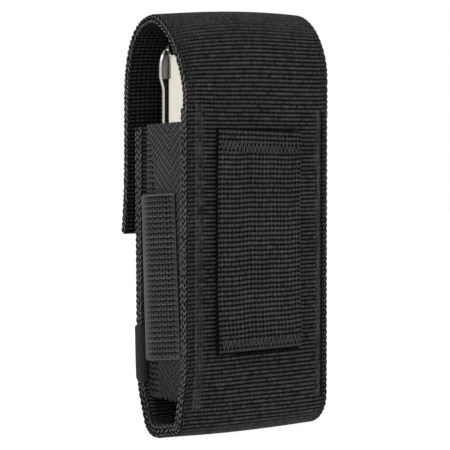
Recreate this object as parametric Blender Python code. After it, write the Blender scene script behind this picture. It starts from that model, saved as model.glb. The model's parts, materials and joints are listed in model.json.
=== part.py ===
"""Belt sheath of nylon webbing with a folded plier multi tool inside it.

Units are metres and +Z is up. The origin lies on the flat underside of the
sheath, halfway between its front and back panels. The belt loop is on the +Y
side, the flap comes down over the front on the -Y side, and X runs across.
"""

import math

import bmesh
import bpy
from mathutils import Matrix

# Clearances
FIT_GAP = 0.0003
TOOL_FRONT_PLAY = 0.0004
TOOL_BACK_PLAY = 0.0028
HEAD_SIDE_PLAY = 0.0008

# Folded tool, overall
TOOL_LENGTH = 0.1033
HANDLE_WIDTH = 0.0184
CENTRE_GAP = 0.0008
SPINE_INSET = 0.0003
HEAD_SWELL = 0.0010
HEAD_SWELL_RISE = 0.0045
HEAD_SWELL_TOP = 0.011
HEAD_CORNER_RADIUS = 0.0085
HEAD_INNER_RADIUS = 0.0056
FOOT_OUTER_RADIUS = 0.006
FOOT_INNER_RADIUS = 0.003

# Layers through the tool, from its outer faces to its middle
PLATE_THICKNESS = 0.0012
PLATE_EDGE_BEVEL = 0.0004
BLADE_THICKNESS = 0.0017
CHANNEL_WALL = 0.0011
CHANNEL_INSIDE = 0.0068
SPINE_CUT_BELOW_TOP = 0.0058
EAR_SWELL = 0.0009
EAR_SWELL_RISE = 0.0018
EAR_CORNER_RADIUS = 0.0038
CHANNEL_FOOT_INSET = 0.0012
CHANNEL_MOUTH_INSET = 0.0003

# Pins of the tool
BASE_PIN_RADIUS = 0.0015
BASE_PIN_FROM_SPINE = 0.0093
BASE_PIN_UP = 0.0075
TANG_PIN_RADIUS = 0.002
TANG_PIN_FROM_SPINE = 0.0084
TANG_PIN_BELOW_TOP = 0.0085
SPACER_WALL = 0.0022
SPACER_INSET = 0.0004
SPACER_HEIGHT = 0.0118

# Plier jaws
JAW_PIVOT_BELOW_TOP = 0.020
JAW_PIVOT_RADIUS = 0.0022
JAW_BOSS_RADIUS = 0.0064
JAW_TANG_WALL = 0.0023
JAW_NECK_WIDTH = 0.0075
JAW_LENGTH = 0.044
JAW_ROOT_WIDTH = 0.0058
JAW_ROOT_BELOW_PIVOT = 0.0102
JAW_TIP_WIDTH = 0.0019
JAW_TOOTH_PITCH = 0.0012
JAW_TOOTH_DEPTH = 0.0005
JAW_TOOTH_COUNT = 14
CUTTER_NOTCH_WIDTH = 0.0045
CUTTER_NOTCH_DEPTH = 0.0014

# Folding blades, measured from the base pin that each one turns on
BLADE_RING_RADIUS = 0.0042
BLADE_TIP_ROOM = 0.0054
BLADE_HEEL = 0.006
BLADE_KICK = 0.004
BLADE_RICASSO = 0.010
BLADE_BACK = 0.0048
BLADE_EDGE = 0.0052
KNIFE_CLIP = 0.018
KNIFE_TIP_IN = 0.0032
SERRATED_CLIP = 0.012
SERRATED_TIP_IN = 0.002
SERRATED_PLAIN_END = 0.004
SERRATION_COUNT = 9
SERRATION_DEPTH = 0.0011
SAW_CLIP = 0.010
SAW_TIP_IN = 0.0035
SAW_PLAIN_END = 0.005
SAW_TOOTH_COUNT = 26
SAW_TOOTH_DEPTH = 0.0013
SAW_TOOTH_RAKE = 0.75
FILE_NOSE = 0.003

# Tools inside the channels; the shares are of each tool's own length
INNER_TIP_ROOM = 0.0187
INNER_HEEL = 0.007
INNER_LEAN = 0.0028
INNER_SHANK = 0.0030
LARGE_DRIVER_WIDTH = 0.0060
SMALL_DRIVER_WIDTH = 0.0030
SMALL_DRIVER_SHARE = 0.91
DRIVER_SHANK_SHARE = 0.53
DRIVER_TAPER_SHARE = 0.125
CROSS_DRIVER_SHARE = 0.97
CROSS_NECK = 0.0019
CROSS_POINT = 0.0009
CROSS_CONE_SHARE = 0.11
AWL_SHARE = 0.84
AWL_POINT = 0.0004
AWL_TAPER_SHARE = 0.48
OPENER_SPINE_ROOM = 0.0014
OPENER_FACE = 0.0012
OPENER_ROOT = 0.0032
OPENER_ROOT_UP = 0.005
OPENER_CORNER = 0.004
OPENER_MOUTH_SHARE = 0.62
OPENER_BEAK_UP = 0.001
OPENER_BEAK_IN = 0.0024
OPENER_HOOK_OUT = 0.0004
CAN_OPENER_SHARE = 0.78
CAN_OPENER_BIGHT = 0.0026
BOTTLE_OPENER_SHARE = 0.81
BOTTLE_OPENER_BIGHT = 0.0036

# Sheath
WEBBING_THICKNESS = 0.003
SIDE_ROOM = 0.0032
BOTTOM_FRONT_INNER_RADIUS = 0.0075
BOTTOM_BACK_INNER_RADIUS = 0.004
HINGE_BELOW_TOOL_TOP = 0.0166
FRONT_BELOW_TOOL_TOP = 0.0256
FLAP_HEADROOM = 0.0066
FLAP_REAR_SHOULDER_DROP = 0.018
FLAP_FRONT_SHOULDER_DROP = 0.019
FLAP_PEAK_FORWARD = 0.002
FLAP_FRONT_SET_IN = 0.0019
FLAP_OVERLAP = 0.0295
TONGUE_STRAIGHT_BELOW_FRONT_TOP = 0.003

# Gussets and side pockets
GUSSET_THICKNESS = 0.0008
GUSSET_INSET = 0.0016
GUSSET_BOTTOM = 0.0108
TAPE_THICKNESS = 0.0005
TAPE_WIDTH = 0.0135
TAPE_BOTTOM = 0.0104
TAPE_PINK_COUNT = 5
TAPE_PINK_DEPTH = 0.0012
POCKET_THICKNESS = 0.0008
POCKET_BULGE = 0.0007
POCKET_BOTTOM = 0.022
POCKET_BELOW_FRONT_TOP = 0.0192

# Touch fastener, label and belt loop
PATCH_WIDTH = 0.042
PATCH_END_MARGIN = 0.0025
LOOP_PATCH_THICKNESS = 0.0015
LOOP_PATCH_HEIGHT = 0.0255
HOOK_PATCH_THICKNESS = 0.0014
HOOK_PATCH_HEIGHT = 0.0225
LABEL_THICKNESS = 0.0006
LABEL_BOTTOM = 0.0152
LABEL_HEIGHT = 0.015
BELT_LOOP_WIDTH = 0.030
BELT_LOOP_OFFSET = 0.0019
BELT_LOOP_THICKNESS = 0.002
BELT_LOOP_BOTTOM = 0.0245
BELT_LOOP_HEIGHT = 0.0608
BELT_LOOP_SEAM = 0.0068
BELT_LOOP_RAMP = 0.0045
BELT_LOOP_STANDOFF = 0.0009
BAR_TACK_HEIGHT = 0.0031
BAR_TACK_THICKNESS = 0.0006
BAR_TACK_BOTTOM_MARGIN = 0.0007
BAR_TACK_TOP_MARGIN = 0.0031
BAR_TACK_SIDE_MARGIN = 0.001

ARC_STEPS = 8
ROUND_SIDES = 24
CUT_REACH = 0.02
SMOOTH_ANGLE = math.radians(35)

# Sizes that follow from the ones above
BLADE_SLOT = BLADE_THICKNESS + 2 * FIT_GAP
CHANNEL_HALF = CHANNEL_INSIDE / 2 + CHANNEL_WALL
PLATE_INNER = CHANNEL_HALF + BLADE_SLOT
TOOL_HALF = PLATE_INNER + PLATE_THICKNESS
PLATE_IN = CENTRE_GAP / 2
PLATE_OUT = PLATE_IN + HANDLE_WIDTH
SPINE_OUT = PLATE_OUT - SPINE_INSET
BASE_PIN_OUT = SPINE_OUT - BASE_PIN_FROM_SPINE
TANG_PIN_OUT = SPINE_OUT - TANG_PIN_FROM_SPINE
OPENER_BACK = BASE_PIN_FROM_SPINE - CHANNEL_WALL - OPENER_SPINE_ROOM
HEAD_OUT = PLATE_OUT + HEAD_SWELL
HALF_WIDTH = HEAD_OUT + SIDE_ROOM + GUSSET_THICKNESS + GUSSET_INSET
INNER_HALF_DEPTH = TOOL_HALF + (TOOL_FRONT_PLAY + TOOL_BACK_PLAY) / 2
OUTER_HALF_DEPTH = INNER_HALF_DEPTH + WEBBING_THICKNESS
TOOL_Y = (TOOL_FRONT_PLAY - TOOL_BACK_PLAY) / 2
TANG_PIN_UP = TOOL_LENGTH - TANG_PIN_BELOW_TOP
SPINE_CUT_UP = TOOL_LENGTH - SPINE_CUT_BELOW_TOP
SPACER_IN = TANG_PIN_OUT - TANG_PIN_RADIUS - FIT_GAP - SPACER_WALL
JAW_TANG_RADIUS = TANG_PIN_RADIUS + FIT_GAP + JAW_TANG_WALL
BLADE_LENGTH = TOOL_LENGTH - SPACER_INSET - SPACER_HEIGHT - BLADE_TIP_ROOM - BASE_PIN_UP
INNER_TOOL_LENGTH = TANG_PIN_UP - JAW_TANG_RADIUS - INNER_TIP_ROOM - BASE_PIN_UP


def seat_height():
    """Height at which the tool's front edge rests on the sheath's rounded front corner."""
    reach = BOTTOM_FRONT_INNER_RADIUS - FIT_GAP
    sideways = min(BOTTOM_FRONT_INNER_RADIUS - TOOL_FRONT_PLAY, reach)
    drop = math.sqrt(max(reach ** 2 - sideways ** 2, 0.0))
    return WEBBING_THICKNESS + BOTTOM_FRONT_INNER_RADIUS - drop


TOOL_Z = seat_height()
TOOL_TOP = TOOL_Z + TOOL_LENGTH
HINGE_Z = TOOL_TOP - HINGE_BELOW_TOOL_TOP
FRONT_TOP = TOOL_TOP - FRONT_BELOW_TOOL_TOP
FLAP_PEAK = TOOL_TOP + FLAP_HEADROOM + WEBBING_THICKNESS
FLAP_END = FRONT_TOP - FLAP_OVERLAP
FASTENER_DEPTH = LOOP_PATCH_THICKNESS + HOOK_PATCH_THICKNESS + 3 * FIT_GAP
TONGUE_INNER = OUTER_HALF_DEPTH + FASTENER_DEPTH
TONGUE_OUTER = TONGUE_INNER + WEBBING_THICKNESS

# Across and along: a profile's own x and y become Y and Z, pushed out along X
PROFILE_ACROSS = Matrix(((0, 0, 1, 0), (1, 0, 0, 0), (0, 1, 0, 0), (0, 0, 0, 1)))
# A side outline's own x and y become X and Z, pushed out along Y
OUTLINE_FACING = Matrix(((1, 0, 0, 0), (0, 0, -1, 0), (0, 1, 0, 0), (0, 0, 0, 1)))
TOOL_PLACE = Matrix.Translation((0, TOOL_Y, TOOL_Z))


for old in list(bpy.data.objects):
    bpy.data.objects.remove(old, do_unlink=True)

parts = bpy.data.collections.new("sheathed_multi_tool")
cutters = bpy.data.collections.new("cutters")
bpy.context.scene.collection.children.link(parts)
bpy.context.scene.collection.children.link(cutters)


def make_material(name, colour, roughness, metallic):
    material = bpy.data.materials.new(name)
    material.use_nodes = True
    shader = material.node_tree.nodes["Principled BSDF"]
    shader.inputs["Base Color"].default_value = (*colour, 1.0)
    shader.inputs["Roughness"].default_value = roughness
    shader.inputs["Metallic"].default_value = metallic
    return material


WEBBING = make_material("nylon_webbing", (0.035, 0.035, 0.037), 0.85, 0.0)
ELASTIC = make_material("ribbed_elastic", (0.075, 0.075, 0.08), 0.85, 0.0)
TWILL = make_material("twill_tape", (0.04, 0.043, 0.05), 0.9, 0.0)
SATIN = make_material("satin_label", (0.03, 0.03, 0.032), 0.55, 0.0)
FASTENER = make_material("touch_fastener", (0.02, 0.02, 0.022), 0.95, 0.0)
THREAD = make_material("sewing_thread", (0.05, 0.05, 0.053), 0.7, 0.0)
POLISHED = make_material("polished_steel", (0.75, 0.74, 0.71), 0.18, 1.0)
SATIN_STEEL = make_material("satin_steel", (0.6, 0.6, 0.6), 0.35, 1.0)


def arc(centre, radius, start, end, steps=ARC_STEPS):
    """Points on an arc from one angle to another, in degrees."""
    points = []
    for step in range(steps + 1):
        angle = math.radians(start + (end - start) * step / steps)
        points.append((centre[0] + radius * math.cos(angle), centre[1] + radius * math.sin(angle)))
    return points


def ease(start, end, steps=ARC_STEPS):
    """Points on a smooth S from one point to another, square to the first at both ends."""
    points = []
    for step in range(steps + 1):
        share = step / steps
        blend = share * share * (3 - 2 * share)
        points.append((start[0] + (end[0] - start[0]) * blend, start[1] + (end[1] - start[1]) * share))
    return points


def ring(centre, radius):
    return arc(centre, radius, 0, 360, ROUND_SIDES)[:-1]


def strip(path, thickness):
    """Closed outline of a band whose outer face follows the path, with its thickness to the left."""
    inner = []
    for index, point in enumerate(path):
        before = path[max(index - 1, 0)]
        after = path[min(index + 1, len(path) - 1)]
        along = math.hypot(after[0] - before[0], after[1] - before[1])
        left = (-(after[1] - before[1]) / along, (after[0] - before[0]) / along)
        inner.append((point[0] + left[0] * thickness, point[1] + left[1] * thickness))
    return path + inner[::-1]


def new_object(name, mesh, material, collection=parts):
    obj = bpy.data.objects.new(name, mesh)
    if material:
        mesh.materials.append(material)
    collection.objects.link(obj)
    return obj


def flat_mesh(name, loops, thickness, bevel):
    """Mesh of a flat outline, with any further loops as holes, thick about its own plane."""
    curve = bpy.data.curves.new(name, "CURVE")
    curve.dimensions = "2D"
    curve.fill_mode = "BOTH"
    curve.extrude = thickness / 2 - bevel
    curve.bevel_depth = bevel
    curve.bevel_resolution = 0
    curve.offset = -bevel
    for loop in loops:
        spline = curve.splines.new("POLY")
        spline.points.add(len(loop) - 1)
        for point, (across, up) in zip(spline.points, loop):
            point.co = (across, up, 0, 1)
        spline.use_cyclic_u = True
    holder = bpy.data.objects.new(name + "_outline", curve)
    cutters.objects.link(holder)
    bpy.context.view_layer.update()
    evaluated = holder.evaluated_get(bpy.context.evaluated_depsgraph_get())
    mesh = bpy.data.meshes.new_from_object(evaluated)
    bpy.data.objects.remove(holder)
    work = bmesh.new()
    work.from_mesh(mesh)
    bmesh.ops.remove_doubles(work, verts=work.verts, dist=1e-6)
    bmesh.ops.recalc_face_normals(work, faces=work.faces)
    work.to_mesh(mesh)
    work.free()
    mesh.materials.clear()
    mesh.name = name
    return mesh


def flat_part(name, loops, thickness, place, material, bevel=0.0):
    """One solid from a flat outline, with its sharp edges broken by a small bevel."""
    mesh = flat_mesh(name, loops, thickness, bevel)
    mesh.shade_smooth()
    mesh.set_sharp_from_angle(angle=SMOOTH_ANGLE)
    obj = new_object(name, mesh, material)
    obj.matrix_world = place
    return obj


def box_mesh(name, size):
    mesh = bpy.data.meshes.new(name)
    work = bmesh.new()
    bmesh.ops.create_cube(work, size=1.0, matrix=Matrix.Diagonal((*size, 1.0)))
    work.to_mesh(mesh)
    work.free()
    return mesh


def block(name, low, high, material):
    """A box between two corners."""
    size = [top - bottom for bottom, top in zip(low, high)]
    middle = [(top + bottom) / 2 for bottom, top in zip(low, high)]
    obj = new_object(name, box_mesh(name, size), material)
    obj.location = middle
    return obj


def pin(name, radius, low_y, high_y, across, up, material, collection=parts):
    """A round bar along Y."""
    mesh = bpy.data.meshes.new(name)
    work = bmesh.new()
    turn = Matrix.Rotation(math.radians(90), 4, "X")
    bmesh.ops.create_cone(
        work, cap_ends=True, segments=ROUND_SIDES, radius1=radius, radius2=radius,
        depth=high_y - low_y, matrix=turn,
    )
    work.to_mesh(mesh)
    work.free()
    mesh.shade_smooth()
    mesh.set_sharp_from_angle(angle=SMOOTH_ANGLE)
    obj = new_object(name, mesh, material, collection)
    obj.location = (across, (low_y + high_y) / 2, up)
    return obj


def box_cutter(name, low, high):
    obj = block(name, low, high, None)
    parts.objects.unlink(obj)
    cutters.objects.link(obj)
    hide_cutter(obj)
    return obj


def hide_cutter(obj):
    obj.hide_render = True
    obj.display_type = "WIRE"


def cut(obj, cutter):
    modifier = obj.modifiers.new("cut " + cutter.name, "BOOLEAN")
    modifier.operation = "DIFFERENCE"
    modifier.solver = "EXACT"
    modifier.object = cutter


# Sheath body, flap and what is sewn to them
def sheath_path():
    """Outer face of the webbing from the front's top edge, under the bottom and up the back."""
    front_radius = BOTTOM_FRONT_INNER_RADIUS + WEBBING_THICKNESS
    back_radius = BOTTOM_BACK_INNER_RADIUS + WEBBING_THICKNESS
    front_centre = (-OUTER_HALF_DEPTH + front_radius, front_radius)
    back_centre = (OUTER_HALF_DEPTH - back_radius, back_radius)
    path = [(-OUTER_HALF_DEPTH, FRONT_TOP)]
    path += arc(front_centre, front_radius, 180, 270)
    path += arc(back_centre, back_radius, 270, 360)
    path.append((OUTER_HALF_DEPTH, HINGE_Z - FIT_GAP / 2))
    return path


def flap_path():
    """Outer face of the flap from the fold at the back, over the tool and down the front."""
    rear_z = FLAP_PEAK - FLAP_REAR_SHOULDER_DROP
    front_z = FLAP_PEAK - FLAP_FRONT_SHOULDER_DROP
    rear_reach = OUTER_HALF_DEPTH + FLAP_PEAK_FORWARD
    front_edge = TONGUE_OUTER - FLAP_FRONT_SET_IN
    front_reach = front_edge - FLAP_PEAK_FORWARD
    path = [(OUTER_HALF_DEPTH, HINGE_Z + FIT_GAP / 2)]
    for across, up in arc((0, 0), 1, 0, 90, 2 * ARC_STEPS):
        path.append((-FLAP_PEAK_FORWARD + across * rear_reach, rear_z + up * FLAP_REAR_SHOULDER_DROP))
    for across, up in arc((0, 0), 1, 90, 180, 2 * ARC_STEPS)[1:]:
        path.append((-FLAP_PEAK_FORWARD + across * front_reach, front_z + up * FLAP_FRONT_SHOULDER_DROP))
    tongue_top = FRONT_TOP - TONGUE_STRAIGHT_BELOW_FRONT_TOP
    path += ease((-front_edge, front_z), (-TONGUE_OUTER, tongue_top))[1:]
    path.append((-TONGUE_OUTER, FLAP_END))
    return path


def add_sheath():
    width = 2 * HALF_WIDTH
    flat_part("sheath_webbing", [strip(sheath_path(), WEBBING_THICKNESS)], width, PROFILE_ACROSS, WEBBING)

    patch_half = PATCH_WIDTH / 2
    patch_low = FLAP_END + PATCH_END_MARGIN
    block(
        "loop_patch",
        (-patch_half, -OUTER_HALF_DEPTH - FIT_GAP - LOOP_PATCH_THICKNESS, patch_low),
        (patch_half, -OUTER_HALF_DEPTH - FIT_GAP, patch_low + LOOP_PATCH_HEIGHT),
        FASTENER,
    )
    add_label()


def add_label():
    """Plain satin band across the front panel, folded round both of its edges."""
    near = FIT_GAP
    far = FIT_GAP + LABEL_THICKNESS
    side = HALF_WIDTH
    front = OUTER_HALF_DEPTH
    end = INNER_HALF_DEPTH + FIT_GAP
    outline = [
        (side + far, -end), (side + near, -end), (side + near, -front - near),
        (-side - near, -front - near), (-side - near, -end), (-side - far, -end),
        (-side - far, -front - far), (side + far, -front - far),
    ]
    place = Matrix.Translation((0, 0, LABEL_BOTTOM + LABEL_HEIGHT / 2))
    flat_part("label_band", [outline], LABEL_HEIGHT, place, SATIN)


def add_flap():
    """The flap turns about the fold line at the top of the back panel's outer face."""
    fold = bpy.data.objects.new("flap_fold", None)
    parts.objects.link(fold)
    fold.location = (0, OUTER_HALF_DEPTH, HINGE_Z)
    bpy.context.view_layer.update()

    outline = strip(flap_path(), WEBBING_THICKNESS)
    webbing = flat_part("flap_webbing", [outline], 2 * HALF_WIDTH, PROFILE_ACROSS, WEBBING)
    patch_half = PATCH_WIDTH / 2
    patch_low = FLAP_END + PATCH_END_MARGIN
    hook = block(
        "hook_patch",
        (-patch_half, -TONGUE_INNER + FIT_GAP, patch_low),
        (patch_half, -TONGUE_INNER + FIT_GAP + HOOK_PATCH_THICKNESS, patch_low + HOOK_PATCH_HEIGHT),
        FASTENER,
    )
    for piece in (webbing, hook):
        piece.parent = fold
        piece.matrix_parent_inverse = fold.matrix_world.inverted()


def add_belt_loop():
    """Narrow webbing sewn flat to the back at both ends and standing off it between them."""
    seat = OUTER_HALF_DEPTH + FIT_GAP + BELT_LOOP_THICKNESS
    stand = OUTER_HALF_DEPTH + BELT_LOOP_STANDOFF + BELT_LOOP_THICKNESS
    top = BELT_LOOP_BOTTOM + BELT_LOOP_HEIGHT
    low_seam = BELT_LOOP_BOTTOM + BELT_LOOP_SEAM
    high_seam = top - BELT_LOOP_SEAM
    path = [(seat, BELT_LOOP_BOTTOM)]
    path += ease((seat, low_seam), (stand, low_seam + BELT_LOOP_RAMP))
    path += ease((stand, high_seam - BELT_LOOP_RAMP), (seat, high_seam))
    path.append((seat, top))
    outline = strip(path, BELT_LOOP_THICKNESS)
    place = Matrix.Translation((BELT_LOOP_OFFSET, 0, 0)) @ PROFILE_ACROSS
    flat_part("belt_loop", [outline], BELT_LOOP_WIDTH, place, WEBBING)

    half = BELT_LOOP_WIDTH / 2 - BAR_TACK_SIDE_MARGIN
    lows = {
        "bar_tack_bottom": BELT_LOOP_BOTTOM + BAR_TACK_BOTTOM_MARGIN,
        "bar_tack_top": top - BAR_TACK_TOP_MARGIN - BAR_TACK_HEIGHT,
    }
    for name, low in lows.items():
        block(
            name,
            (BELT_LOOP_OFFSET - half, seat + FIT_GAP, low),
            (BELT_LOOP_OFFSET + half, seat + FIT_GAP + BAR_TACK_THICKNESS, low + BAR_TACK_HEIGHT),
            THREAD,
        )


def add_side(side, name):
    """Gusset, twill tape and elastic pocket of one side. Each profile is drawn for +X."""
    def mirrored(loop):
        return [(side * across, along) for across, along in loop]

    def standing(part, loop, low, high, material):
        place = Matrix.Translation((0, 0, (low + high) / 2))
        flat_part(part, [mirrored(loop)], high - low, place, material)

    web_out = HALF_WIDTH - GUSSET_INSET
    web_in = web_out - GUSSET_THICKNESS
    flange_end = HEAD_OUT + HEAD_SIDE_PLAY
    outer = INNER_HALF_DEPTH - FIT_GAP
    inner = outer - GUSSET_THICKNESS
    gusset = [
        (flange_end, -outer), (web_out, -outer), (web_out, outer), (flange_end, outer),
        (flange_end, inner), (web_in, inner), (web_in, -inner), (flange_end, -inner),
    ]
    standing("gusset_" + name, gusset, GUSSET_BOTTOM, FRONT_TOP, ELASTIC)
    add_tape(side, name, web_out + FIT_GAP, outer)

    pocket_in = web_out + 2 * FIT_GAP + TAPE_THICKNESS
    path = []
    for step in range(2 * ARC_STEPS + 1):
        share = 2 * step / (2 * ARC_STEPS) - 1
        path.append((pocket_in + POCKET_THICKNESS + POCKET_BULGE * (1 - share ** 2), share * outer))
    pocket = strip(path, POCKET_THICKNESS)
    standing("side_pocket_" + name, pocket, POCKET_BOTTOM, FRONT_TOP - POCKET_BELOW_FRONT_TOP, ELASTIC)


def add_tape(side, name, inner_x, back_y):
    """Twill tape down the rear of the gusset, with its lower edge cut in points."""
    front_y = back_y - TAPE_WIDTH
    outline = [(back_y, FRONT_TOP), (front_y, FRONT_TOP)]
    for step in range(2 * TAPE_PINK_COUNT + 1):
        across = front_y + TAPE_WIDTH * step / (2 * TAPE_PINK_COUNT)
        outline.append((across, TAPE_BOTTOM + TAPE_PINK_DEPTH * (step % 2)))
    middle = side * (inner_x + TAPE_THICKNESS / 2)
    place = Matrix.Translation((middle, 0, 0)) @ PROFILE_ACROSS
    flat_part("twill_tape_" + name, [outline], TAPE_THICKNESS, place, TWILL)


# Folded tool: outlines are drawn for the handle at +X, from the tool's own foot
def plate_outline():
    shoulder = TOOL_LENGTH - HEAD_SWELL_TOP
    outline = arc((PLATE_IN + FOOT_INNER_RADIUS, FOOT_INNER_RADIUS), FOOT_INNER_RADIUS, 180, 270)
    outline += arc((PLATE_OUT - FOOT_OUTER_RADIUS, FOOT_OUTER_RADIUS), FOOT_OUTER_RADIUS, 270, 360)
    outline += ease((PLATE_OUT, shoulder - HEAD_SWELL_RISE), (HEAD_OUT, shoulder))
    head = (HEAD_OUT - HEAD_CORNER_RADIUS, TOOL_LENGTH - HEAD_CORNER_RADIUS)
    outline += arc(head, HEAD_CORNER_RADIUS, 0, 90)
    inner_head = (PLATE_IN + HEAD_INNER_RADIUS, TOOL_LENGTH - HEAD_INNER_RADIUS)
    outline += arc(inner_head, HEAD_INNER_RADIUS, 90, 180)
    return outline


def channel_outline():
    """Side of the channel: its spine runs straight up to the cut, and its walls end in swollen ears."""
    tang = tang_pin_place()
    ear_radius = TANG_PIN_FROM_SPINE
    ear_out = SPINE_OUT + EAR_SWELL
    ear_up = SPINE_CUT_UP + EAR_SWELL_RISE
    mouth = PLATE_IN + CHANNEL_MOUTH_INSET
    low = CHANNEL_FOOT_INSET
    outline = arc((mouth + FOOT_INNER_RADIUS, low + FOOT_INNER_RADIUS), FOOT_INNER_RADIUS, 180, 270)
    outline += arc((SPINE_OUT - FOOT_OUTER_RADIUS, low + FOOT_OUTER_RADIUS), FOOT_OUTER_RADIUS, 270, 360)
    outline += ease((SPINE_OUT, SPINE_CUT_UP), (ear_out, ear_up))
    outline += arc((ear_out - EAR_CORNER_RADIUS, ear_up), EAR_CORNER_RADIUS, 0, 90)[1:]
    outline += arc(tang, ear_radius, 90, 180)
    outline.append((mouth, tang[1] - ear_radius))
    return outline


def spacer_outline():
    """Spacer between plate and channel wall: it fills the head down to a square-cut foot."""
    out = HEAD_OUT - SPACER_INSET
    top = TOOL_LENGTH - SPACER_INSET
    radius = HEAD_CORNER_RADIUS - SPACER_INSET
    outline = [(SPACER_IN, top - SPACER_HEIGHT), (out, top - SPACER_HEIGHT)]
    outline += arc((out - radius, top - radius), radius, 0, 90)
    outline.append((SPACER_IN, top))
    return outline


def base_pin_place():
    return (BASE_PIN_OUT, BASE_PIN_UP)


def tang_pin_place():
    return (TANG_PIN_OUT, TANG_PIN_UP)


def tool_part(name, loops, thickness, middle_y, turned, material, bevel=0.0):
    """A flat piece of the tool. A turned one is swung half round the tool's own upright axis."""
    turn = Matrix.Rotation(math.radians(180 if turned else 0), 4, "Z")
    place = TOOL_PLACE @ turn @ Matrix.Translation((0, middle_y, 0)) @ OUTLINE_FACING
    return flat_part(name, loops, thickness, place, material, bevel)


def pin_holes():
    base = ring(base_pin_place(), BASE_PIN_RADIUS + FIT_GAP)
    tang = ring(tang_pin_place(), TANG_PIN_RADIUS + FIT_GAP)
    return [base, tang]


def add_handle(turned, name):
    """Channel, two cover plates, pins and head spacers of one handle."""
    channel = tool_part(
        "handle_channel_" + name, [channel_outline()] + pin_holes(), 2 * CHANNEL_HALF, 0, turned, POLISHED
    )
    half = CHANNEL_INSIDE / 2
    side = -1 if turned else 1
    hollow = sorted((side * -CUT_REACH, side * (SPINE_OUT - CHANNEL_WALL)))
    spine_top = TOOL_Z + SPINE_CUT_UP
    cut(channel, box_cutter(
        "channel_hollow_" + name,
        (hollow[0], TOOL_Y - half, TOOL_Z - CUT_REACH),
        (hollow[1], TOOL_Y + half, TOOL_TOP + CUT_REACH),
    ))
    over = sorted((0, side * (SPINE_OUT + CUT_REACH)))
    cut(channel, box_cutter(
        "spine_cut_" + name,
        (over[0], TOOL_Y - half, spine_top),
        (over[1], TOOL_Y + half, TOOL_TOP + CUT_REACH),
    ))

    plate_middle = PLATE_INNER + PLATE_THICKNESS / 2
    spacer_middle = CHANNEL_HALF + BLADE_SLOT / 2
    spacer = [spacer_outline(), ring(tang_pin_place(), TANG_PIN_RADIUS + FIT_GAP)]
    for face, sign in (("front", -1), ("rear", 1)):
        own_sign = -sign if turned else sign
        tool_part(
            f"plate_{face}_{name}", [plate_outline()] + pin_holes(), PLATE_THICKNESS,
            own_sign * plate_middle, turned, POLISHED, bevel=PLATE_EDGE_BEVEL,
        )
        tool_part(
            f"head_spacer_{face}_{name}", spacer, BLADE_THICKNESS,
            own_sign * spacer_middle, turned, SATIN_STEEL,
        )

    for label, radius, (across, up) in (
        ("base_pin_", BASE_PIN_RADIUS, base_pin_place()),
        ("tang_pin_", TANG_PIN_RADIUS, tang_pin_place()),
    ):
        pin(
            label + name, radius, TOOL_Y - TOOL_HALF, TOOL_Y + TOOL_HALF,
            side * across, TOOL_Z + up, SATIN_STEEL,
        )


def folding_outline(right_side, left_side):
    """A blade or driver standing up from its ring round the base pin, both sides listed upward."""
    centre = base_pin_place()
    outline = arc(centre, BLADE_RING_RADIUS, 180, 360, 2 * ARC_STEPS)
    outline += [(centre[0] + across, centre[1] + up) for across, up in right_side]
    outline += [(centre[0] + across, centre[1] + up) for across, up in reversed(left_side)]
    return [outline, ring(centre, BASE_PIN_RADIUS + FIT_GAP)]


def knife_outline():
    clip_low = BLADE_LENGTH - KNIFE_CLIP
    tip_x = KNIFE_TIP_IN - BLADE_EDGE
    right = [(BLADE_BACK, BLADE_HEEL)] + ease((BLADE_BACK, clip_low), (tip_x, BLADE_LENGTH))
    left = [(-BLADE_RING_RADIUS, BLADE_KICK), (-BLADE_EDGE, BLADE_RICASSO)]
    for across, up in arc((0, 0), 1, 180, 90)[:-1]:
        left.append((tip_x + across * KNIFE_TIP_IN, clip_low + up * KNIFE_CLIP))
    return folding_outline(right, left)


def serrated_outline():
    clip_low = BLADE_LENGTH - SERRATED_CLIP
    pitch = (clip_low - SERRATED_PLAIN_END - BLADE_RICASSO) / SERRATION_COUNT
    right = [(BLADE_BACK, BLADE_HEEL)]
    right += ease((BLADE_BACK, clip_low), (SERRATED_TIP_IN - BLADE_EDGE, BLADE_LENGTH))
    left = [(-BLADE_RING_RADIUS, BLADE_KICK), (-BLADE_EDGE, BLADE_RICASSO)]
    for step in range(1, 4 * SERRATION_COUNT + 1):
        bite = SERRATION_DEPTH * abs(math.sin(math.pi * step / 4))
        left.append((bite - BLADE_EDGE, BLADE_RICASSO + pitch * step / 4))
    left.append((-BLADE_EDGE, BLADE_LENGTH - SERRATED_PLAIN_END))
    return folding_outline(right, left)


def saw_outline():
    edge = -BLADE_RING_RADIUS
    root = edge + SAW_TOOTH_DEPTH
    pitch = (BLADE_LENGTH - SAW_PLAIN_END - BLADE_RICASSO) / SAW_TOOTH_COUNT
    right = [(BLADE_RING_RADIUS, BLADE_HEEL)]
    right += ease((BLADE_RING_RADIUS, BLADE_LENGTH - SAW_CLIP), (edge + SAW_TIP_IN, BLADE_LENGTH))
    left = [(edge, BLADE_KICK), (root, BLADE_RICASSO)]
    for tooth in range(SAW_TOOTH_COUNT):
        left.append((edge, BLADE_RICASSO + pitch * (tooth + SAW_TOOTH_RAKE)))
        left.append((root, BLADE_RICASSO + pitch * (tooth + 1)))
    return folding_outline(right, left)


def file_outline():
    back = BLADE_BACK
    shoulder = BLADE_LENGTH - FILE_NOSE
    right = [(back, BLADE_HEEL), (back, shoulder), (back - FILE_NOSE, BLADE_LENGTH)]
    left = [(-BLADE_RING_RADIUS, BLADE_KICK), (-back, BLADE_RICASSO), (-back, shoulder)]
    left.append((FILE_NOSE - back, BLADE_LENGTH))
    return folding_outline(right, left)


def shanked_outline(side):
    """An inside tool that is alike on both sides of its shank; side lists the right one upward."""
    right = [(INNER_LEAN + across, up) for across, up in side]
    left = [(INNER_LEAN - across, up) for across, up in side]
    return folding_outline(right, left)


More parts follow.
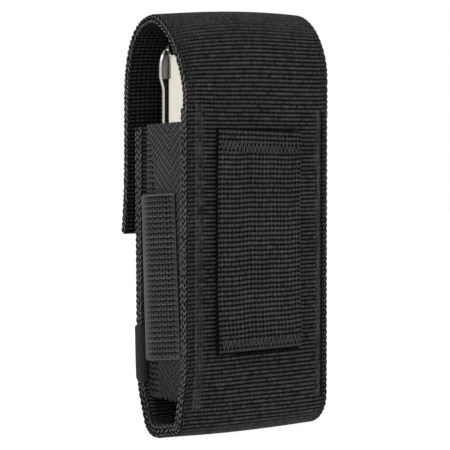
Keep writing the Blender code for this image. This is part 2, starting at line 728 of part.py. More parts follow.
def driver_outline(width, length):
    """A flat screwdriver: a broad shank that narrows to a square blade."""
    shank_end = length * DRIVER_SHANK_SHARE
    taper_end = shank_end + length * DRIVER_TAPER_SHARE
    side = [(INNER_SHANK, INNER_HEEL)] + ease((INNER_SHANK, shank_end), (width / 2, taper_end))
    return shanked_outline(side + [(width / 2, length)])


def cross_driver_outline(length):
    """A flat cross-point driver, which tapers to a blunt point."""
    shank_end = length * DRIVER_SHANK_SHARE
    taper_end = shank_end + length * DRIVER_TAPER_SHARE
    side = [(INNER_SHANK, INNER_HEEL)] + ease((INNER_SHANK, shank_end), (CROSS_NECK, taper_end))
    return shanked_outline(side + [(CROSS_NECK, length - length * CROSS_CONE_SHARE), (CROSS_POINT, length)])


def awl_outline(length):
    taper_start = length - length * AWL_TAPER_SHARE
    return shanked_outline([(INNER_SHANK, INNER_HEEL), (INNER_SHANK, taper_start), (AWL_POINT, length)])


def opener_outline(length, bight_radius):
    """A can or bottle opener: a broad blade with a hooked bight in its side."""
    bight_low = length * OPENER_MOUTH_SHARE
    corner = (OPENER_BACK - OPENER_CORNER, length - OPENER_CORNER)
    right = [(OPENER_BACK, BLADE_RICASSO)] + arc(corner, OPENER_CORNER, 0, 90)
    left = [(-OPENER_ROOT, OPENER_ROOT_UP), (-OPENER_FACE, BLADE_RICASSO)]
    left += arc((-OPENER_FACE, bight_low + bight_radius), bight_radius, 270, 450, 2 * ARC_STEPS)
    left.append((-OPENER_FACE - OPENER_HOOK_OUT, bight_low + 2 * bight_radius + OPENER_BEAK_UP))
    left.append((OPENER_BEAK_IN - OPENER_FACE, length - OPENER_BEAK_UP))
    return folding_outline(right, left)


def add_blades():
    slot = CHANNEL_HALF + BLADE_SLOT / 2
    for name, outline, sign, turned in (
        ("knife_blade", knife_outline(), -1, False),
        ("saw_blade", saw_outline(), 1, False),
        ("serrated_blade", serrated_outline(), 1, True),
        ("file", file_outline(), -1, True),
    ):
        tool_part(name, outline, BLADE_THICKNESS, sign * slot, turned, SATIN_STEEL)

    leaf = (CHANNEL_INSIDE - 4 * FIT_GAP) / 3
    step = leaf + FIT_GAP
    reach = INNER_TOOL_LENGTH
    for name, outline, place, turned in (
        ("large_driver", driver_outline(LARGE_DRIVER_WIDTH, reach), -1, False),
        ("can_opener", opener_outline(reach * CAN_OPENER_SHARE, CAN_OPENER_BIGHT), 0, False),
        ("small_driver", driver_outline(SMALL_DRIVER_WIDTH, reach * SMALL_DRIVER_SHARE), 1, False),
        ("cross_driver", cross_driver_outline(reach * CROSS_DRIVER_SHARE), -1, True),
        ("bottle_opener", opener_outline(reach * BOTTLE_OPENER_SHARE, BOTTLE_OPENER_BIGHT), 0, True),
        ("awl", awl_outline(reach * AWL_SHARE), 1, True),
    ):
        tool_part(name, outline, leaf, place * step, turned, SATIN_STEEL)


def jaw_outline():
    """One plier half: its tang at +X, a round boss on the pivot, and its jaw below at -X."""
    tang = tang_pin_place()
    pivot = (0, TOOL_LENGTH - JAW_PIVOT_BELOW_TOP)
    lean = math.degrees(math.atan2(tang[1] - pivot[1], tang[0] - pivot[0]))
    tang_open = math.degrees(math.asin(min(JAW_NECK_WIDTH / 2 / JAW_TANG_RADIUS, 1.0)))
    boss_open = math.degrees(math.asin(min(JAW_NECK_WIDTH / 2 / JAW_BOSS_RADIUS, 1.0)))
    parting = FIT_GAP / 2
    tip = pivot[1] - JAW_LENGTH

    outline = arc(tang, JAW_TANG_RADIUS, lean + 180 + tang_open, lean + 540 - tang_open, 2 * ARC_STEPS)
    outline += arc(pivot, JAW_BOSS_RADIUS, lean + boss_open, 200)
    outline += ease((-JAW_ROOT_WIDTH, pivot[1] - JAW_ROOT_BELOW_PIVOT), (-JAW_TIP_WIDTH, tip))
    outline.append((-parting, tip))
    for tooth in range(JAW_TOOTH_COUNT):
        low = tip + JAW_TOOTH_PITCH * (tooth + 1)
        outline.append((-parting, low))
        outline.append((-parting - JAW_TOOTH_DEPTH, low + JAW_TOOTH_PITCH / 2))
    notch_low = tip + JAW_TOOTH_PITCH * (JAW_TOOTH_COUNT + 1)
    notch_high = pivot[1] - JAW_BOSS_RADIUS - CUTTER_NOTCH_WIDTH
    outline += [(-parting, notch_low), (-parting, notch_high)]
    outline.append((-parting - CUTTER_NOTCH_DEPTH, notch_high + CUTTER_NOTCH_WIDTH / 2))
    outline.append((-parting, pivot[1] - JAW_BOSS_RADIUS))
    outline += arc(pivot, JAW_BOSS_RADIUS, 275, 360 + lean - boss_open)
    holes = [ring(tang, TANG_PIN_RADIUS + FIT_GAP), ring(pivot, JAW_PIVOT_RADIUS + FIT_GAP)]
    return [outline] + holes


def add_jaws():
    """Two alike plier halves, lapped on the pivot so that each has half of the thickness there."""
    thickness = CHANNEL_INSIDE - 2 * FIT_GAP
    pivot_z = TOOL_TOP - JAW_PIVOT_BELOW_TOP
    for turned, name in ((False, "right"), (True, "left")):
        jaw = tool_part("plier_jaw_" + name, jaw_outline(), thickness, 0, turned, SATIN_STEEL)
        sign = 1 if turned else -1
        lap = sorted((TOOL_Y + sign * CUT_REACH, TOOL_Y - sign * FIT_GAP / 2))
        cutter = pin("jaw_lap_" + name, JAW_BOSS_RADIUS + FIT_GAP, lap[0], lap[1], 0, pivot_z, None, cutters)
        hide_cutter(cutter)
        cut(jaw, cutter)
    pin("jaw_pivot", JAW_PIVOT_RADIUS, TOOL_Y - thickness / 2, TOOL_Y + thickness / 2, 0, pivot_z, POLISHED)


add_sheath()
add_flap()
add_belt_loop()
add_side(1, "right")
add_side(-1, "left")
add_handle(False, "right")
add_handle(True, "left")
add_blades()
add_jaws()
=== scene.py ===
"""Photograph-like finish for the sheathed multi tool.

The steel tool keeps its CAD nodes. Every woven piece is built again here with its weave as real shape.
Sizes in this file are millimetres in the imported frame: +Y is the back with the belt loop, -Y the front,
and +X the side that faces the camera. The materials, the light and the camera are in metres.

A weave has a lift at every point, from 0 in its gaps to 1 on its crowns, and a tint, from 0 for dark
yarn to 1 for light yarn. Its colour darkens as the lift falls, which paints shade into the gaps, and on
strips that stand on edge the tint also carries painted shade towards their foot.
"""
import json
import math

import bpy
import numpy as np
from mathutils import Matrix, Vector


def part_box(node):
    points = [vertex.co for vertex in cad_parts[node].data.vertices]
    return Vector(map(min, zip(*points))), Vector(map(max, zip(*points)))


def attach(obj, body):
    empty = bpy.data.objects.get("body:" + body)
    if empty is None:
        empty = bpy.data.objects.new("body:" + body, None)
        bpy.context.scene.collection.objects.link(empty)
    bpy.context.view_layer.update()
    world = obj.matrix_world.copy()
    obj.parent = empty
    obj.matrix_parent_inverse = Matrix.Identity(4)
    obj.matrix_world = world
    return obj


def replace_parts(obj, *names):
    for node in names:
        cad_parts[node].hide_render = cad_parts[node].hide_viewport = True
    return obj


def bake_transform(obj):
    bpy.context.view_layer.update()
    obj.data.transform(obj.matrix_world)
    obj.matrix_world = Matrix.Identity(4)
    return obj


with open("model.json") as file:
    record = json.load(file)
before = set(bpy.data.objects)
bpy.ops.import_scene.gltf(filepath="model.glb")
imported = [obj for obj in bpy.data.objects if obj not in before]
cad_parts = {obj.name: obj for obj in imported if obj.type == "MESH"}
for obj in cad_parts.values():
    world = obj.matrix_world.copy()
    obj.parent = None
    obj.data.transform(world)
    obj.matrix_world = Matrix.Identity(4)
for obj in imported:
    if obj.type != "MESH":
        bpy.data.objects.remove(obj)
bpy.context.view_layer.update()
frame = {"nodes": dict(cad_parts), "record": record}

MM = 0.001
rng = np.random.default_rng(11)


def cad(node):
    """Lowest and highest corner of a CAD node, in millimetres."""
    low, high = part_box(node)
    return np.array(low) / MM, np.array(high) / MM


# Places taken from the frame
(_, FRONT, _), (HALF, BACK, _) = cad("sheath_webbing")
(_, _, FLAP_END), (_, _, FLAP_PEAK) = cad("flap_webbing")
(_, _, GUSSET_LOW), (GUSSET_X, _, FRONT_TOP) = cad("gusset_right")
(_, _, POCKET_LOW), (POCKET_X, _, POCKET_HIGH) = cad("side_pocket_right")
(_, _, TAPE_LOW), (TAPE_X, _, _) = cad("twill_tape_right")
(_, _, LABEL_LOW), (LABEL_X, _, LABEL_HIGH) = cad("label_band")
(LOOP_LEFT, _, LOOP_LOW), (LOOP_RIGHT, _, LOOP_HIGH) = cad("belt_loop")
LOOP_PAD_BOX, HOOK_PAD_BOX = cad("loop_patch"), cad("hook_patch")
TACKS = {"top": cad("bar_tack_top"), "bottom": cad("bar_tack_bottom")}

# Webbing: its ribs run across it, and one rib is given as shares of its pitch and of its height
WEB_THICK = 3.1
RIB_PITCH = 1.165
RIB_DEPTH = 0.45
INSIDE_DEPTH_SHARE = 0.7
RIB_ROWS = np.array([(0.0, 0.0), (0.2, 0.55), (0.38, 1.0), (0.62, 1.0), (0.8, 0.55)])
WALL_ROWS = np.array([0.12, 0.5, 0.88])
# Side walls darken from this lift at the outer face towards the inner face, as painted shade
WALL_LIFT = 0.1
EDGE_RECESS = 0.60
SPLIT_Z = 90.6
SPLIT_SKEW = -0.04
# How soon the flap's tongue hangs straight, and how late it flares
HANG_POWER, FLARE_POWER = 2.8, 4
# Ribs waver by this much, over this many yarns, and run straight near the edges and the ends
RIB_WAVER, WAVER_YARNS, WAVER_SEED = 0.16, 16, 5
STRAIGHT_EDGE, STRAIGHT_END = 4, 6
LEAST_END = 0.02
# Yarns show as beads along a rib, more strongly outside the seams, and there also in the gaps. Inside
# they bead strongly, which darkens the inner face on the whole as painted shade
EDGE_YARNS, BODY_YARNS, BODY_YARN_REACH = 14, 56, 20.8
SHEATH_INNER_YARNS, FLAP_INNER_YARNS = 26, 96
EDGE_BEAD, INSIDE_BEAD = 1.02, 1.56
EDGE_ON_RIB, BODY_ON_RIB, INSIDE_ON_RIB = 0.40, 0.05, 0.60
EDGE_IN_GAP = 0.50
LOOSE_LIFT, LOOSE_TINT = 0.05, 0.13
# Where the band turns over or under, its ribs pack together and their gaps fill
TURN_START, TURN_REACH, TURN_MOST = 0.40, 0.40, 0.80
TURN_LIFT, TURN_LOOSE, TURN_RAISE = 0.66, 0.16, 0.40
# Its edges swell over a stretch that starts this far in
SWELL_START, SWELL_REACH = 4.5, 3.0

# Seams press the webbing, and beside the far one a strip is sunk a little and darkened as painted shade
SEAM_X = 22.0
SEAM_PRESSED_X = 20.5
FAR_SEAM_X = 21.4
SEAM_LOW, SEAM_HIGH = 9.0, 92.0
FRONT_SEAM_HIGH, FRONT_SEAM_LOW = 84.5, 12.0
SEAM_HALF_WIDTH = 1.1
SEAM_PRESS, SEAM_LIFT, SEAM_LOOSE = 0.8, 0.72, 0.08
FAR_GROOVE_OUT, FAR_GROOVE_IN, FAR_GROOVE_SINK_AND_SHADE = 2.0, 1.3, 0.6
STITCH_PITCH, STITCH_SPAN, STITCH_SUNK = 3.1, 2.75, 0.22
STITCH_RADIUS, STITCH_SWAY, STITCH_END = 0.24, 0.06, 1.0
THREAD_LIFT, THREAD_LOOSE = 0.9, 0.16

# Selvage: chains of two cords, darkened at the front of the sheath's foot as painted shade
PLAIT_PITCH = 1.75
PLAIT_STEPS = 7
CHAIN_END = 0.4
CHAIN_SPREAD = 0.28
CHAIN_DRIFT, CHAIN_DRIFT_STEPS, CHAIN_SEED = 1.3, 14, 21
CORD_RADIUS, CORD_INSET, CORD_SWAY = 0.21, 0.36, 0.17
CORD_LIFT, CORD_CREST, CORD_WORN = 0.60, 0.42, 0.08
FOOT_HIGH, FOOT_FADE_Z, FOOT_FADE_Y, FOOT_PAINTED_SHADE = 16, 8, 4, 0.18

# Belt loop: its ends are turned under, so it stands higher there while its underside stays flat
LOOP_THICK = 1.4
LOOP_PITCH = 1.335
LOOP_BEAD = 1.33
LOOP_SKEW = -0.025
LOOP_SHIFT = -0.6
LOOP_RECESS = 0.4
LOOP_ON_RIB, LOOP_IN_GAP = 0.14, 0.55
# The loop's walls start as light as its face and darken to a painted shadow line along the sheath
LOOP_WALL_LIFT = 1.0
LOOP_YARNS = 121
LOOP_GAP = 0.3
LOOP_Y = BACK + LOOP_GAP + LOOP_THICK
LOOP_RISE_LOW, LOOP_RISE_HIGH = 0.8, 0.4
# Painted shadow along the loop's ends: the sheath is sunk a little and darkened there, past its left
# side, short of its right, below, above and under its ends
GROOVE_PAST_LEFT, GROOVE_SHORT_RIGHT = 0.8, 1.2
GROOVE_BELOW, GROOVE_ABOVE, GROOVE_UNDER, GROOVE_SINK_AND_SHADE = 1.0, 0.5, 0.2, 0.95
# Bar tacks are sewn over twice, each pass with its start and its sway
TACK_PASSES = ((0.0, 0.10), (0.30, -0.10))
TACK_STEP, TACK_MARGIN, TACK_RADIUS = 0.68, 0.3, 0.16
TACK_STAND, TACK_LOOSE_Y, TACK_LOOSE_Z = 0.1, 0.04, 0.12

# Strips that stand on edge: rounded ends, plain backs, loose yarns and painted shade towards the foot
STRIP_END_MARGIN, STRIP_LEAST_END = 0.1, 0.03
STRIP_BACK, STRIP_LOOSE = 0.4, 0.12
SHADE, SHADE_REACH = 0.32, 16.0

# Elastic of the gussets and pockets. Ridges and gaps are placed in shares of the pitch
ELASTIC_THICK = 0.8
ELASTIC_HEM = 0.5
ELASTIC_SMOOTH_FRONT, ELASTIC_BORDER = 4.0, 0.9
ELASTIC_TICKS = 1.3
RIDGE_PHASE, RIDGE_WIDTH, RIDGE_LEAST = 0.35, 0.11, 0.45
GAP_PHASE, GAP_WIDTH, GAP_ZIGZAG = 0.19, 0.15, 0.14
# A raised rim near the front edge, also painted lighter as a highlight
RIM_IN, RIM_WIDTH = 0.9, 0.5
RIBBED_LIFT, RIDGE_LIFT, GAP_SINK, TICK_SINK, TICK_FADE = 0.60, 0.27, 0.48, 0.32, 0.6
SMOOTH_LIFT, SMOOTH_RIDGE, RIM_HIGHLIGHT_LIFT = 0.76, 0.10, 0.24
BORDER_LIFT, BORDER_RIDGE, BOUND_LIFT = 0.50, 0.25, 0.74
FRAY_LIFT = 0.10
GUSSET_PITCH, POCKET_PITCH = 1.5, 1.42
GUSSET_RELIEF, POCKET_RELIEF = 0.30, 0.34
GUSSET_ROWS, POCKET_ROWS = 400, 360
GUSSET_FOOT_STEP, GUSSET_FOOT_SLOPE, GUSSET_TOP_TILT = 1.9, 0.12, 0.8
POCKET_FOOT_TILT, POCKET_TOP_TILT, POCKET_BULGE = 2.2, 0.5, 0.25

# Twill tape, which leans forward at its top, and its pinked foot
TAPE_THICK = 0.55
TAPE_RELIEF = 0.32
TAPE_ROWS = 290
TAPE_FOOT_Y, TAPE_TOP_Y, TAPE_FLARE = -2.6, -7.7, 5.0
TAPE_TOP_RISE = 0.3
TAPE_PINKS, TAPE_PINK_SPAN, TAPE_PINK_DEPTH, TAPE_PINK_UP = 5, 11.8, 1.3, 0.5
TWILL_PITCH, TWILL_MEET, TWILL_SLOPE = 1.25, 0.62, 0.9
TWILL_KNOT, TWILL_BORDER = 1.2, 0.9

# Satin label, whose foot leans back on the near side
LABEL_THICK = 0.6
LABEL_RELIEF = 0.14
LABEL_ROWS = 61
LABEL_LEAN, LABEL_FLARE = 0.9, 0.4
LABEL_STAND = 0.65
LABEL_TOP_RISE = 0.3
LABEL_HEM, LABEL_HEM_HALF = 1.0, 0.5
LABEL_RIPPLE, LABEL_RIPPLE_STEPS, LABEL_SEED = 0.25, 14, 3


# Shapes of the webbing's outer face, as (y, z) curves
def filleted(corners, radii, count=50):
    """Points along a path with rounded corners, the same number on every run and every bend."""
    corners = np.array(corners, float)
    path, start = [], corners[0]
    for before, corner, after, radius in zip(corners, corners[1:], corners[2:], radii):
        into = (corner - before) / np.linalg.norm(corner - before)
        away = (after - corner) / np.linalg.norm(after - corner)
        turn = math.acos(np.clip(into @ away, -1, 1))
        left = np.array([-into[1], into[0]])
        reach = radius * math.tan(turn / 2)
        begin = corner - into * reach
        path.append(np.linspace(start, begin, count, endpoint=False))
        angle = np.linspace(0, turn, count, endpoint=False)[:, None]
        path.append(begin + radius * (np.sin(angle) * into + (1 - np.cos(angle)) * left))
        start = corner + away * reach
    path.append(np.linspace(start, corners[-1], count))
    return np.concatenate(path)


def along_curve(curve):
    """Distance of each point along a curve."""
    step = np.diff(curve, axis=0)
    return np.concatenate([[0], np.cumsum(np.hypot(step[:, 0], step[:, 1]))])


def spaced(curve, stations, counts):
    """The same curve with evenly spaced points between stations, which are distances along it."""
    run = along_curve(curve)
    even = [np.linspace(a, b, n, endpoint=False) for a, b, n in zip(stations, stations[1:], counts)]
    even = np.concatenate(even + [[run[-1]]])
    return np.column_stack([np.interp(even, run, curve[:, 0]), np.interp(even, run, curve[:, 1])])


def sheath_curve(corners, radii, level=24.0, counts=(120, 220, 120)):
    """U-shaped path whose points lie level with those of another such path above the given height."""
    curve = filleted(corners, radii)
    run = along_curve(curve)
    low = np.argmin(curve[:, 1])
    front = np.interp(-level, -curve[: low + 1, 1], run[: low + 1])
    back = np.interp(level, curve[low:, 1], run[low:])
    return spaced(curve, [0, front, back, run[-1]], counts)


def flap_curve(foot, front, rear_power, front_power, peak, hang_y, flare, end_z, count=60):
    """Straight of the back, both quarters of the arch over foot, and the tongue.

    The powers say how square the rear and the front quarter are. The tongue hangs at hang_y and flares
    at its end.
    """
    rear = BACK - foot[0]
    turn = np.linspace(0, math.pi / 2, count)
    rise = peak - foot[1]
    rear_part = [np.cos(turn) ** (2 / rear_power) * rear, np.sin(turn) ** (2 / rear_power) * rise]
    front_part = [-np.cos(turn) ** (2 / front_power) * front, np.sin(turn) ** (2 / front_power) * rise]
    rear_arch = np.array(foot) + np.column_stack(rear_part)
    front_arch = np.array(foot) + np.column_stack(front_part)[::-1]
    straight = np.linspace((foot[0] + rear, SPLIT_Z), rear_arch[0], count // 3, endpoint=False)
    share = np.linspace(0, 1, count)
    start_y, start_z = front_arch[-1]
    tongue_y = start_y + (hang_y - start_y) * (1 - (1 - share) ** HANG_POWER)
    tongue_y -= flare * share**FLARE_POWER
    tongue = np.column_stack([tongue_y, start_z + (end_z - start_z) * share])
    curve = np.concatenate([straight, rear_arch[:-1], front_arch, tongue[1:]])
    run = along_curve(curve)
    return spaced(curve, [0, run[np.argmax(curve[:, 1])], run[-1]], (80, 120))


class Sheet:
    """Outer face of a band, which leans from its far curve to its near curve across its width.

    lean, thick, swell and skew are values at even steps along the band: the power of the lean, the
    thickness, what the edges add to it, and how far the ribs slant.
    """

    def __init__(self, far, near, lean, thick, swell, skew, half, middle=0.0):
        self.far, self.near, self.half, self.middle = far, near, half, middle
        self.lean, self.thick, self.swell, self.skew = (
            np.interp(np.linspace(0, 1, len(far)), np.linspace(0, 1, len(values)), values)
            for values in (lean, thick, swell, skew)
        )
        self.v = along_curve((far + near) / 2)
        self.length = self.v[-1]

    def at(self, x, v):
        """(y, z) at distance v along the band."""
        far, near = (
            np.stack([np.interp(v, self.v, curve[:, 0]), np.interp(v, self.v, curve[:, 1])], -1)
            for curve in (self.far, self.near)
        )
        share = np.clip((x + self.half) / (2 * self.half), 0, 1) ** np.interp(v, self.v, self.lean)
        return far + (near - far) * share[..., None]

    def place(self, x, v, reach=0.3):
        """(y, z) and the outward (y, z) direction at distance v, also a little past the ends."""
        inside = np.clip(v, 0, self.length)
        ahead, behind = np.minimum(inside + reach, self.length), np.maximum(inside - reach, 0)
        step = self.at(x, ahead) - self.at(x, behind)
        step /= np.linalg.norm(step, axis=-1, keepdims=True)
        here = self.at(x, inside) + step * (v - inside)[..., None]
        return here, np.stack([step[..., 1], -step[..., 0]], -1)

    def thickness(self, x, v):
        """Thickness of the band, which swells towards its edges."""
        edge = np.clip((np.abs(x) - self.half + SWELL_START) / SWELL_REACH, 0, 1)
        return np.interp(v, self.v, self.thick) + edge * np.interp(v, self.v, self.swell)

    def distance_at(self, height, back):
        """How far along the band the given height lies, on its back or on its front."""
        here = (self.far + self.near) / 2
        side = here[:, 0] > 0 if back else here[:, 0] < 0
        return self.v[side][np.argmin(np.abs(here[side, 1] - height))]


def spline(points, count, fine=40):
    """Smooth curve through a few points, evenly spaced."""
    points = np.asarray(points, float)
    t = np.linspace(0, len(points) - 1, fine * len(points))
    i = np.minimum(t.astype(int), len(points) - 2)
    f = (t - i)[:, None]
    a, b = points[np.maximum(i - 1, 0)], points[i]
    c, d = points[i + 1], points[np.minimum(i + 2, len(points) - 1)]
    bend, twist = 2 * a - 5 * b + 4 * c - d, 3 * b - a - 3 * c + d
    curve = 0.5 * (2 * b + (c - a) * f + bend * f**2 + twist * f**3)
    return spaced(curve, [0, along_curve(curve)[-1]], (count - 1,))


# Mesh building
def mesh_object(name, points, faces, made, smooth=True):
    mesh = bpy.data.meshes.new(name)
    mesh.from_pydata((np.asarray(points) * MM).tolist(), [], faces)
    mesh.polygons.foreach_set("use_smooth", [smooth] * len(mesh.polygons))
    mesh.materials.append(made)
    mesh.update()
    obj = bpy.data.objects.new(name, mesh)
    bpy.context.scene.collection.objects.link(obj)
    return obj


def paint(obj, lift, tint, uv):
    """Stores the weave's lift and tint and the cloth's own flat measure."""
    mesh = obj.data
    for key, values in (("lift", lift), ("tint", tint)):
        layer = mesh.attributes.new(key, "FLOAT", "POINT")
        layer.data.foreach_set("value", np.clip(values, 0, 1).astype(np.float32).ravel())
    corner = np.empty(len(mesh.loops), np.int32)
    mesh.loops.foreach_get("vertex_index", corner)
    layer = mesh.uv_layers.new(name="cloth")
    layer.data.foreach_set("uv", np.asarray(uv, np.float32).reshape(-1, 2)[corner].ravel())


def ring_faces(rows, cols, start=0):
    """Faces of a tube of rings, with both ends capped."""
    index = start + np.arange(rows * cols).reshape(rows, cols)
    beside = np.roll(index, -1, axis=1)
    faces = np.stack([index[:-1], beside[:-1], beside[1:], index[1:]], -1).reshape(-1, 4).tolist()
    return faces + [index[0][::-1].tolist(), index[-1].tolist()]


def loft(name, points, made, lift, tint, uv):
    """Closed body from rings of points, one ring a row, facing out."""
    rows, cols = points.shape[:2]
    flat = points.reshape(-1, 3)
    faces = ring_faces(rows, cols)
    a, b, c, d = (flat[[face[i] for face in faces[:-2]]] for i in range(4))
    volume = (a * np.cross(b, c)).sum() + (a * np.cross(c, d)).sum()
    if volume < 0:
        faces = [face[::-1] for face in faces]
    obj = mesh_object(name, flat, faces, made)
    paint(obj, lift, tint, uv)
    return obj


def tubes(name, paths, radius, made, sides=6, lifts=None):
    """Round threads along several paths, as one piece. lifts holds each path's lift at its points."""
    points, faces, tone = [], [], []
    lifts = lifts or [np.full(len(path), THREAD_LIFT) for path in paths]
    turn = np.linspace(0, 2 * math.pi, sides, endpoint=False)
    count = 0
    for path in paths:
        path = np.asarray(path, float)
        ahead = np.gradient(path, axis=0)
        ahead /= np.linalg.norm(ahead, axis=1, keepdims=True)
        guide = np.where(np.abs(ahead[:, :1]) < 0.8, (1.0, 0.0, 0.0), (0.0, 1.0, 0.0))
        across = np.cross(ahead, guide)
        across /= np.linalg.norm(across, axis=1, keepdims=True)
        rise = np.cross(ahead, across)
        ring = across[:, None] * np.cos(turn)[:, None] + rise[:, None] * np.sin(turn)[:, None]
        points.append((path[:, None] + radius * ring).reshape(-1, 3))
        faces += ring_faces(len(path), sides, count)
        tone.append(np.repeat(0.5 + THREAD_LOOSE * rng.normal(size=len(path)), sides))
        count += len(path) * sides
    points = np.concatenate(points)
    obj = mesh_object(name, points, faces, made)
    paint(obj, np.repeat(np.concatenate(lifts), sides), np.concatenate(tone), points[:, [0, 2]])
    return obj


# Weaves
OUTER, WALL, INNER = 0, 1, 2


def drift(count, reach, seed):
    """Values from about -1 to 1 that change over about reach steps."""
    draw = np.random.default_rng(seed).normal(size=count + 8 * reach)
    window = np.hanning(2 * reach + 1)
    soft = np.convolve(draw, window / np.sqrt((window**2).sum()), "same")
    return np.clip(soft[4 * reach : 4 * reach + count], -2, 2) / 2


def woven(name, sheet, pitch, made, columns, inner, on_rib, in_gap, bead, ends, seams=(), shade_grooves=(),
          recess=EDGE_RECESS, wall_lift=WALL_LIFT, inside_bead=INSIDE_BEAD):
    """Ribbed webbing whose yarns run at the given columns on its outer and inner face.

    on_rib and in_gap say how strongly the outer yarns show as beads on the ribs and as bridges between
    them. ends says which ends are rounded. seams are pressed flat, and shade_grooves are sunk a little
    and darkened as painted shade.
    """
    ribs = round(sheet.length / pitch)
    pitch = sheet.length / ribs
    number = np.repeat(np.arange(ribs + 1), len(RIB_ROWS))[: ribs * len(RIB_ROWS) + 1]
    phase, crown = np.tile(RIB_ROWS, (ribs + 1, 1))[: len(number)].T
    v = pitch * (number + phase)
    lip, wall = sheet.half - recess, len(WALL_ROWS)
    x = np.concatenate([columns, [lip] * wall, inner, [-lip] * wall])
    share = np.concatenate([0 * columns, WALL_ROWS, 0 * inner + 1, WALL_ROWS[::-1]])
    face = np.repeat([OUTER, WALL, INNER, WALL], [len(columns), wall, len(inner), wall])
    on_rib = np.where(face == INNER, INSIDE_ON_RIB, np.interp(x, columns, on_rib))
    in_gap = np.where(face == INNER, 0.0, np.interp(x, columns, in_gap))

    # Where the ribs lie
    from_ends = [distance for rounded, distance in zip(ends, (v, sheet.length - v)) if rounded]
    waver = RIB_WAVER * drift(len(x), WAVER_YARNS, WAVER_SEED) * (face != WALL)
    waver *= np.clip((sheet.half - np.abs(x)) / STRAIGHT_EDGE, 0, 1)
    slant = np.interp(v, sheet.v, sheet.skew)[:, None] * x
    fade = np.ones_like(v)
    for distance in from_ends:
        fade *= np.clip(distance / STRAIGHT_END, 0, 1)
    along = v[:, None] + fade[:, None] * (waver + slant)
    x_grid = np.broadcast_to(x, along.shape)
    place, out = sheet.place(x_grid, along)
    thick = sheet.thickness(x_grid, along)
    y, z = place[..., 0], place[..., 1]

    # How high the yarns stand
    tick = 0.5 + 0.5 * np.cos(2 * math.pi * x / np.where(face == INNER, inside_bead, bead))
    loose = rng.normal(0, 1, (ribs + 1, len(x)))[number]
    crown = crown[:, None]
    lift = crown * (1 - on_rib * (1 - tick)) + (1 - crown) * in_gap * tick**2
    lift = np.clip(lift + LOOSE_LIFT * loose, 0, 1)
    pressed = np.zeros_like(lift)
    for seam_x, low, high in seams:
        within = (z > low) * (z < high) * (face == OUTER)
        pressed = np.maximum(pressed, within * np.exp(-(((x_grid - seam_x) / SEAM_HALF_WIDTH) ** 4)))
    pressed *= SEAM_PRESS
    lift = lift * (1 - pressed) + (SEAM_LIFT + SEAM_LOOSE * loose) * pressed
    turned = np.clip((np.abs(out[..., 1]) - TURN_START) / TURN_REACH, 0, TURN_MOST) * (face == OUTER)
    lift = lift * (1 - turned) + (TURN_LIFT + TURN_LOOSE * rng.normal(size=lift.shape)) * turned
    # Painted shade: a lower lift darkens each groove and sinks it a little
    for left, right, low, high, sink_and_shade in shade_grooves:
        within = (x > left) * (x < right) * (face == OUTER) * (z > low) * (z < high) * (y > 0)
        lift *= 1 - sink_and_shade * within
    # Side walls darken towards the inner face as painted shade; on the belt loop this is the shadow line
    # along the sheath
    lift = np.where(face == WALL, wall_lift * crown * (1 - share) ** 2, lift)

    # The body, thinner where an end is rounded
    shrink = np.ones_like(v)
    for distance in from_ends:
        near = np.clip(distance / (thick[:, 0] / 2), 0, 1)
        shrink *= np.sqrt(np.clip(1 - (1 - near) ** 2, LEAST_END, 1))
    stand = np.clip(lift + TURN_RAISE * turned, 0, 1)
    sunk = RIB_DEPTH * (1 - stand) * np.array([1.0, 0.0, -INSIDE_DEPTH_SHARE])[face]
    deep = thick / 2 + ((share - 0.5) * thick + sunk) * shrink[:, None]
    points = np.empty(along.shape + (3,))
    points[..., 0] = x + sheet.middle
    points[..., 1:] = place - out * deep[..., None]
    tint = 0.5 + LOOSE_TINT * loose * (face == OUTER)
    uv = np.stack([np.where(face == WALL, share * thick + x, x_grid), along], -1)
    return loft(name, points, made, lift, tint, uv)


def selvage(name, sheet, made, chains, ends):
    """Chains of two cords along both edges of a band, each lying at its share of the thickness."""
    start, end = (CHAIN_END if rounded else 0.0 for rounded in ends)
    v = np.arange(start, sheet.length - end + 0.1, PLAIT_PITCH / PLAIT_STEPS)
    reach = CHAIN_SPREAD / len(chains)
    paths, lifts = [], []
    for side in (1, -1):
        for seed, share in enumerate(chains):
            slant = reach if seed % 2 else -reach
            loose = drift(len(v), CHAIN_DRIFT_STEPS, seed + CHAIN_SEED)
            turn = math.pi * v / PLAIT_PITCH + CHAIN_DRIFT * loose
            for lag in (0, math.pi):
                stand = np.cos(turn + lag)
                x = side * (sheet.half - CORD_INSET + CORD_SWAY * stand)
                deep = sheet.thickness(x, v) * (share + slant * np.sin(turn + lag))
                here, out = sheet.place(x, v)
                paths.append(np.column_stack([x, here - out * deep[:, None]]))
                # Painted shade on the cords low at the front of the sheath's foot
                low = np.clip((FOOT_HIGH - here[:, 1]) / FOOT_FADE_Z, 0, 1)
                painted_shade = FOOT_PAINTED_SHADE * (low * np.clip(-here[:, 0] / FOOT_FADE_Y, 0, 1))
                worn = CORD_WORN * rng.normal(size=len(v))
                lifts.append(np.clip((CORD_LIFT + CORD_CREST * stand + worn) * (1 - painted_shade), 0, 1))
    return tubes(name, paths, CORD_RADIUS, made, 5, lifts)


# Materials
def material(name):
    made = bpy.data.materials.new(name)
    made.use_nodes = True
    nodes, links = made.node_tree.nodes, made.node_tree.links
    return made, nodes, links, nodes["Principled BSDF"]


def ramp(nodes, links, source, stops):
    node = nodes.new("ShaderNodeValToRGB")
    while len(node.color_ramp.elements) < len(stops):
        node.color_ramp.elements.new(0.5)
    for element, (position, colour) in zip(node.color_ramp.elements, stops):
        element.position = position
        element.color = (*colour, 1.0)
    links.new(source, node.inputs["Fac"])
    return node.outputs["Color"]


def grey(value):
    return (value,) * 3


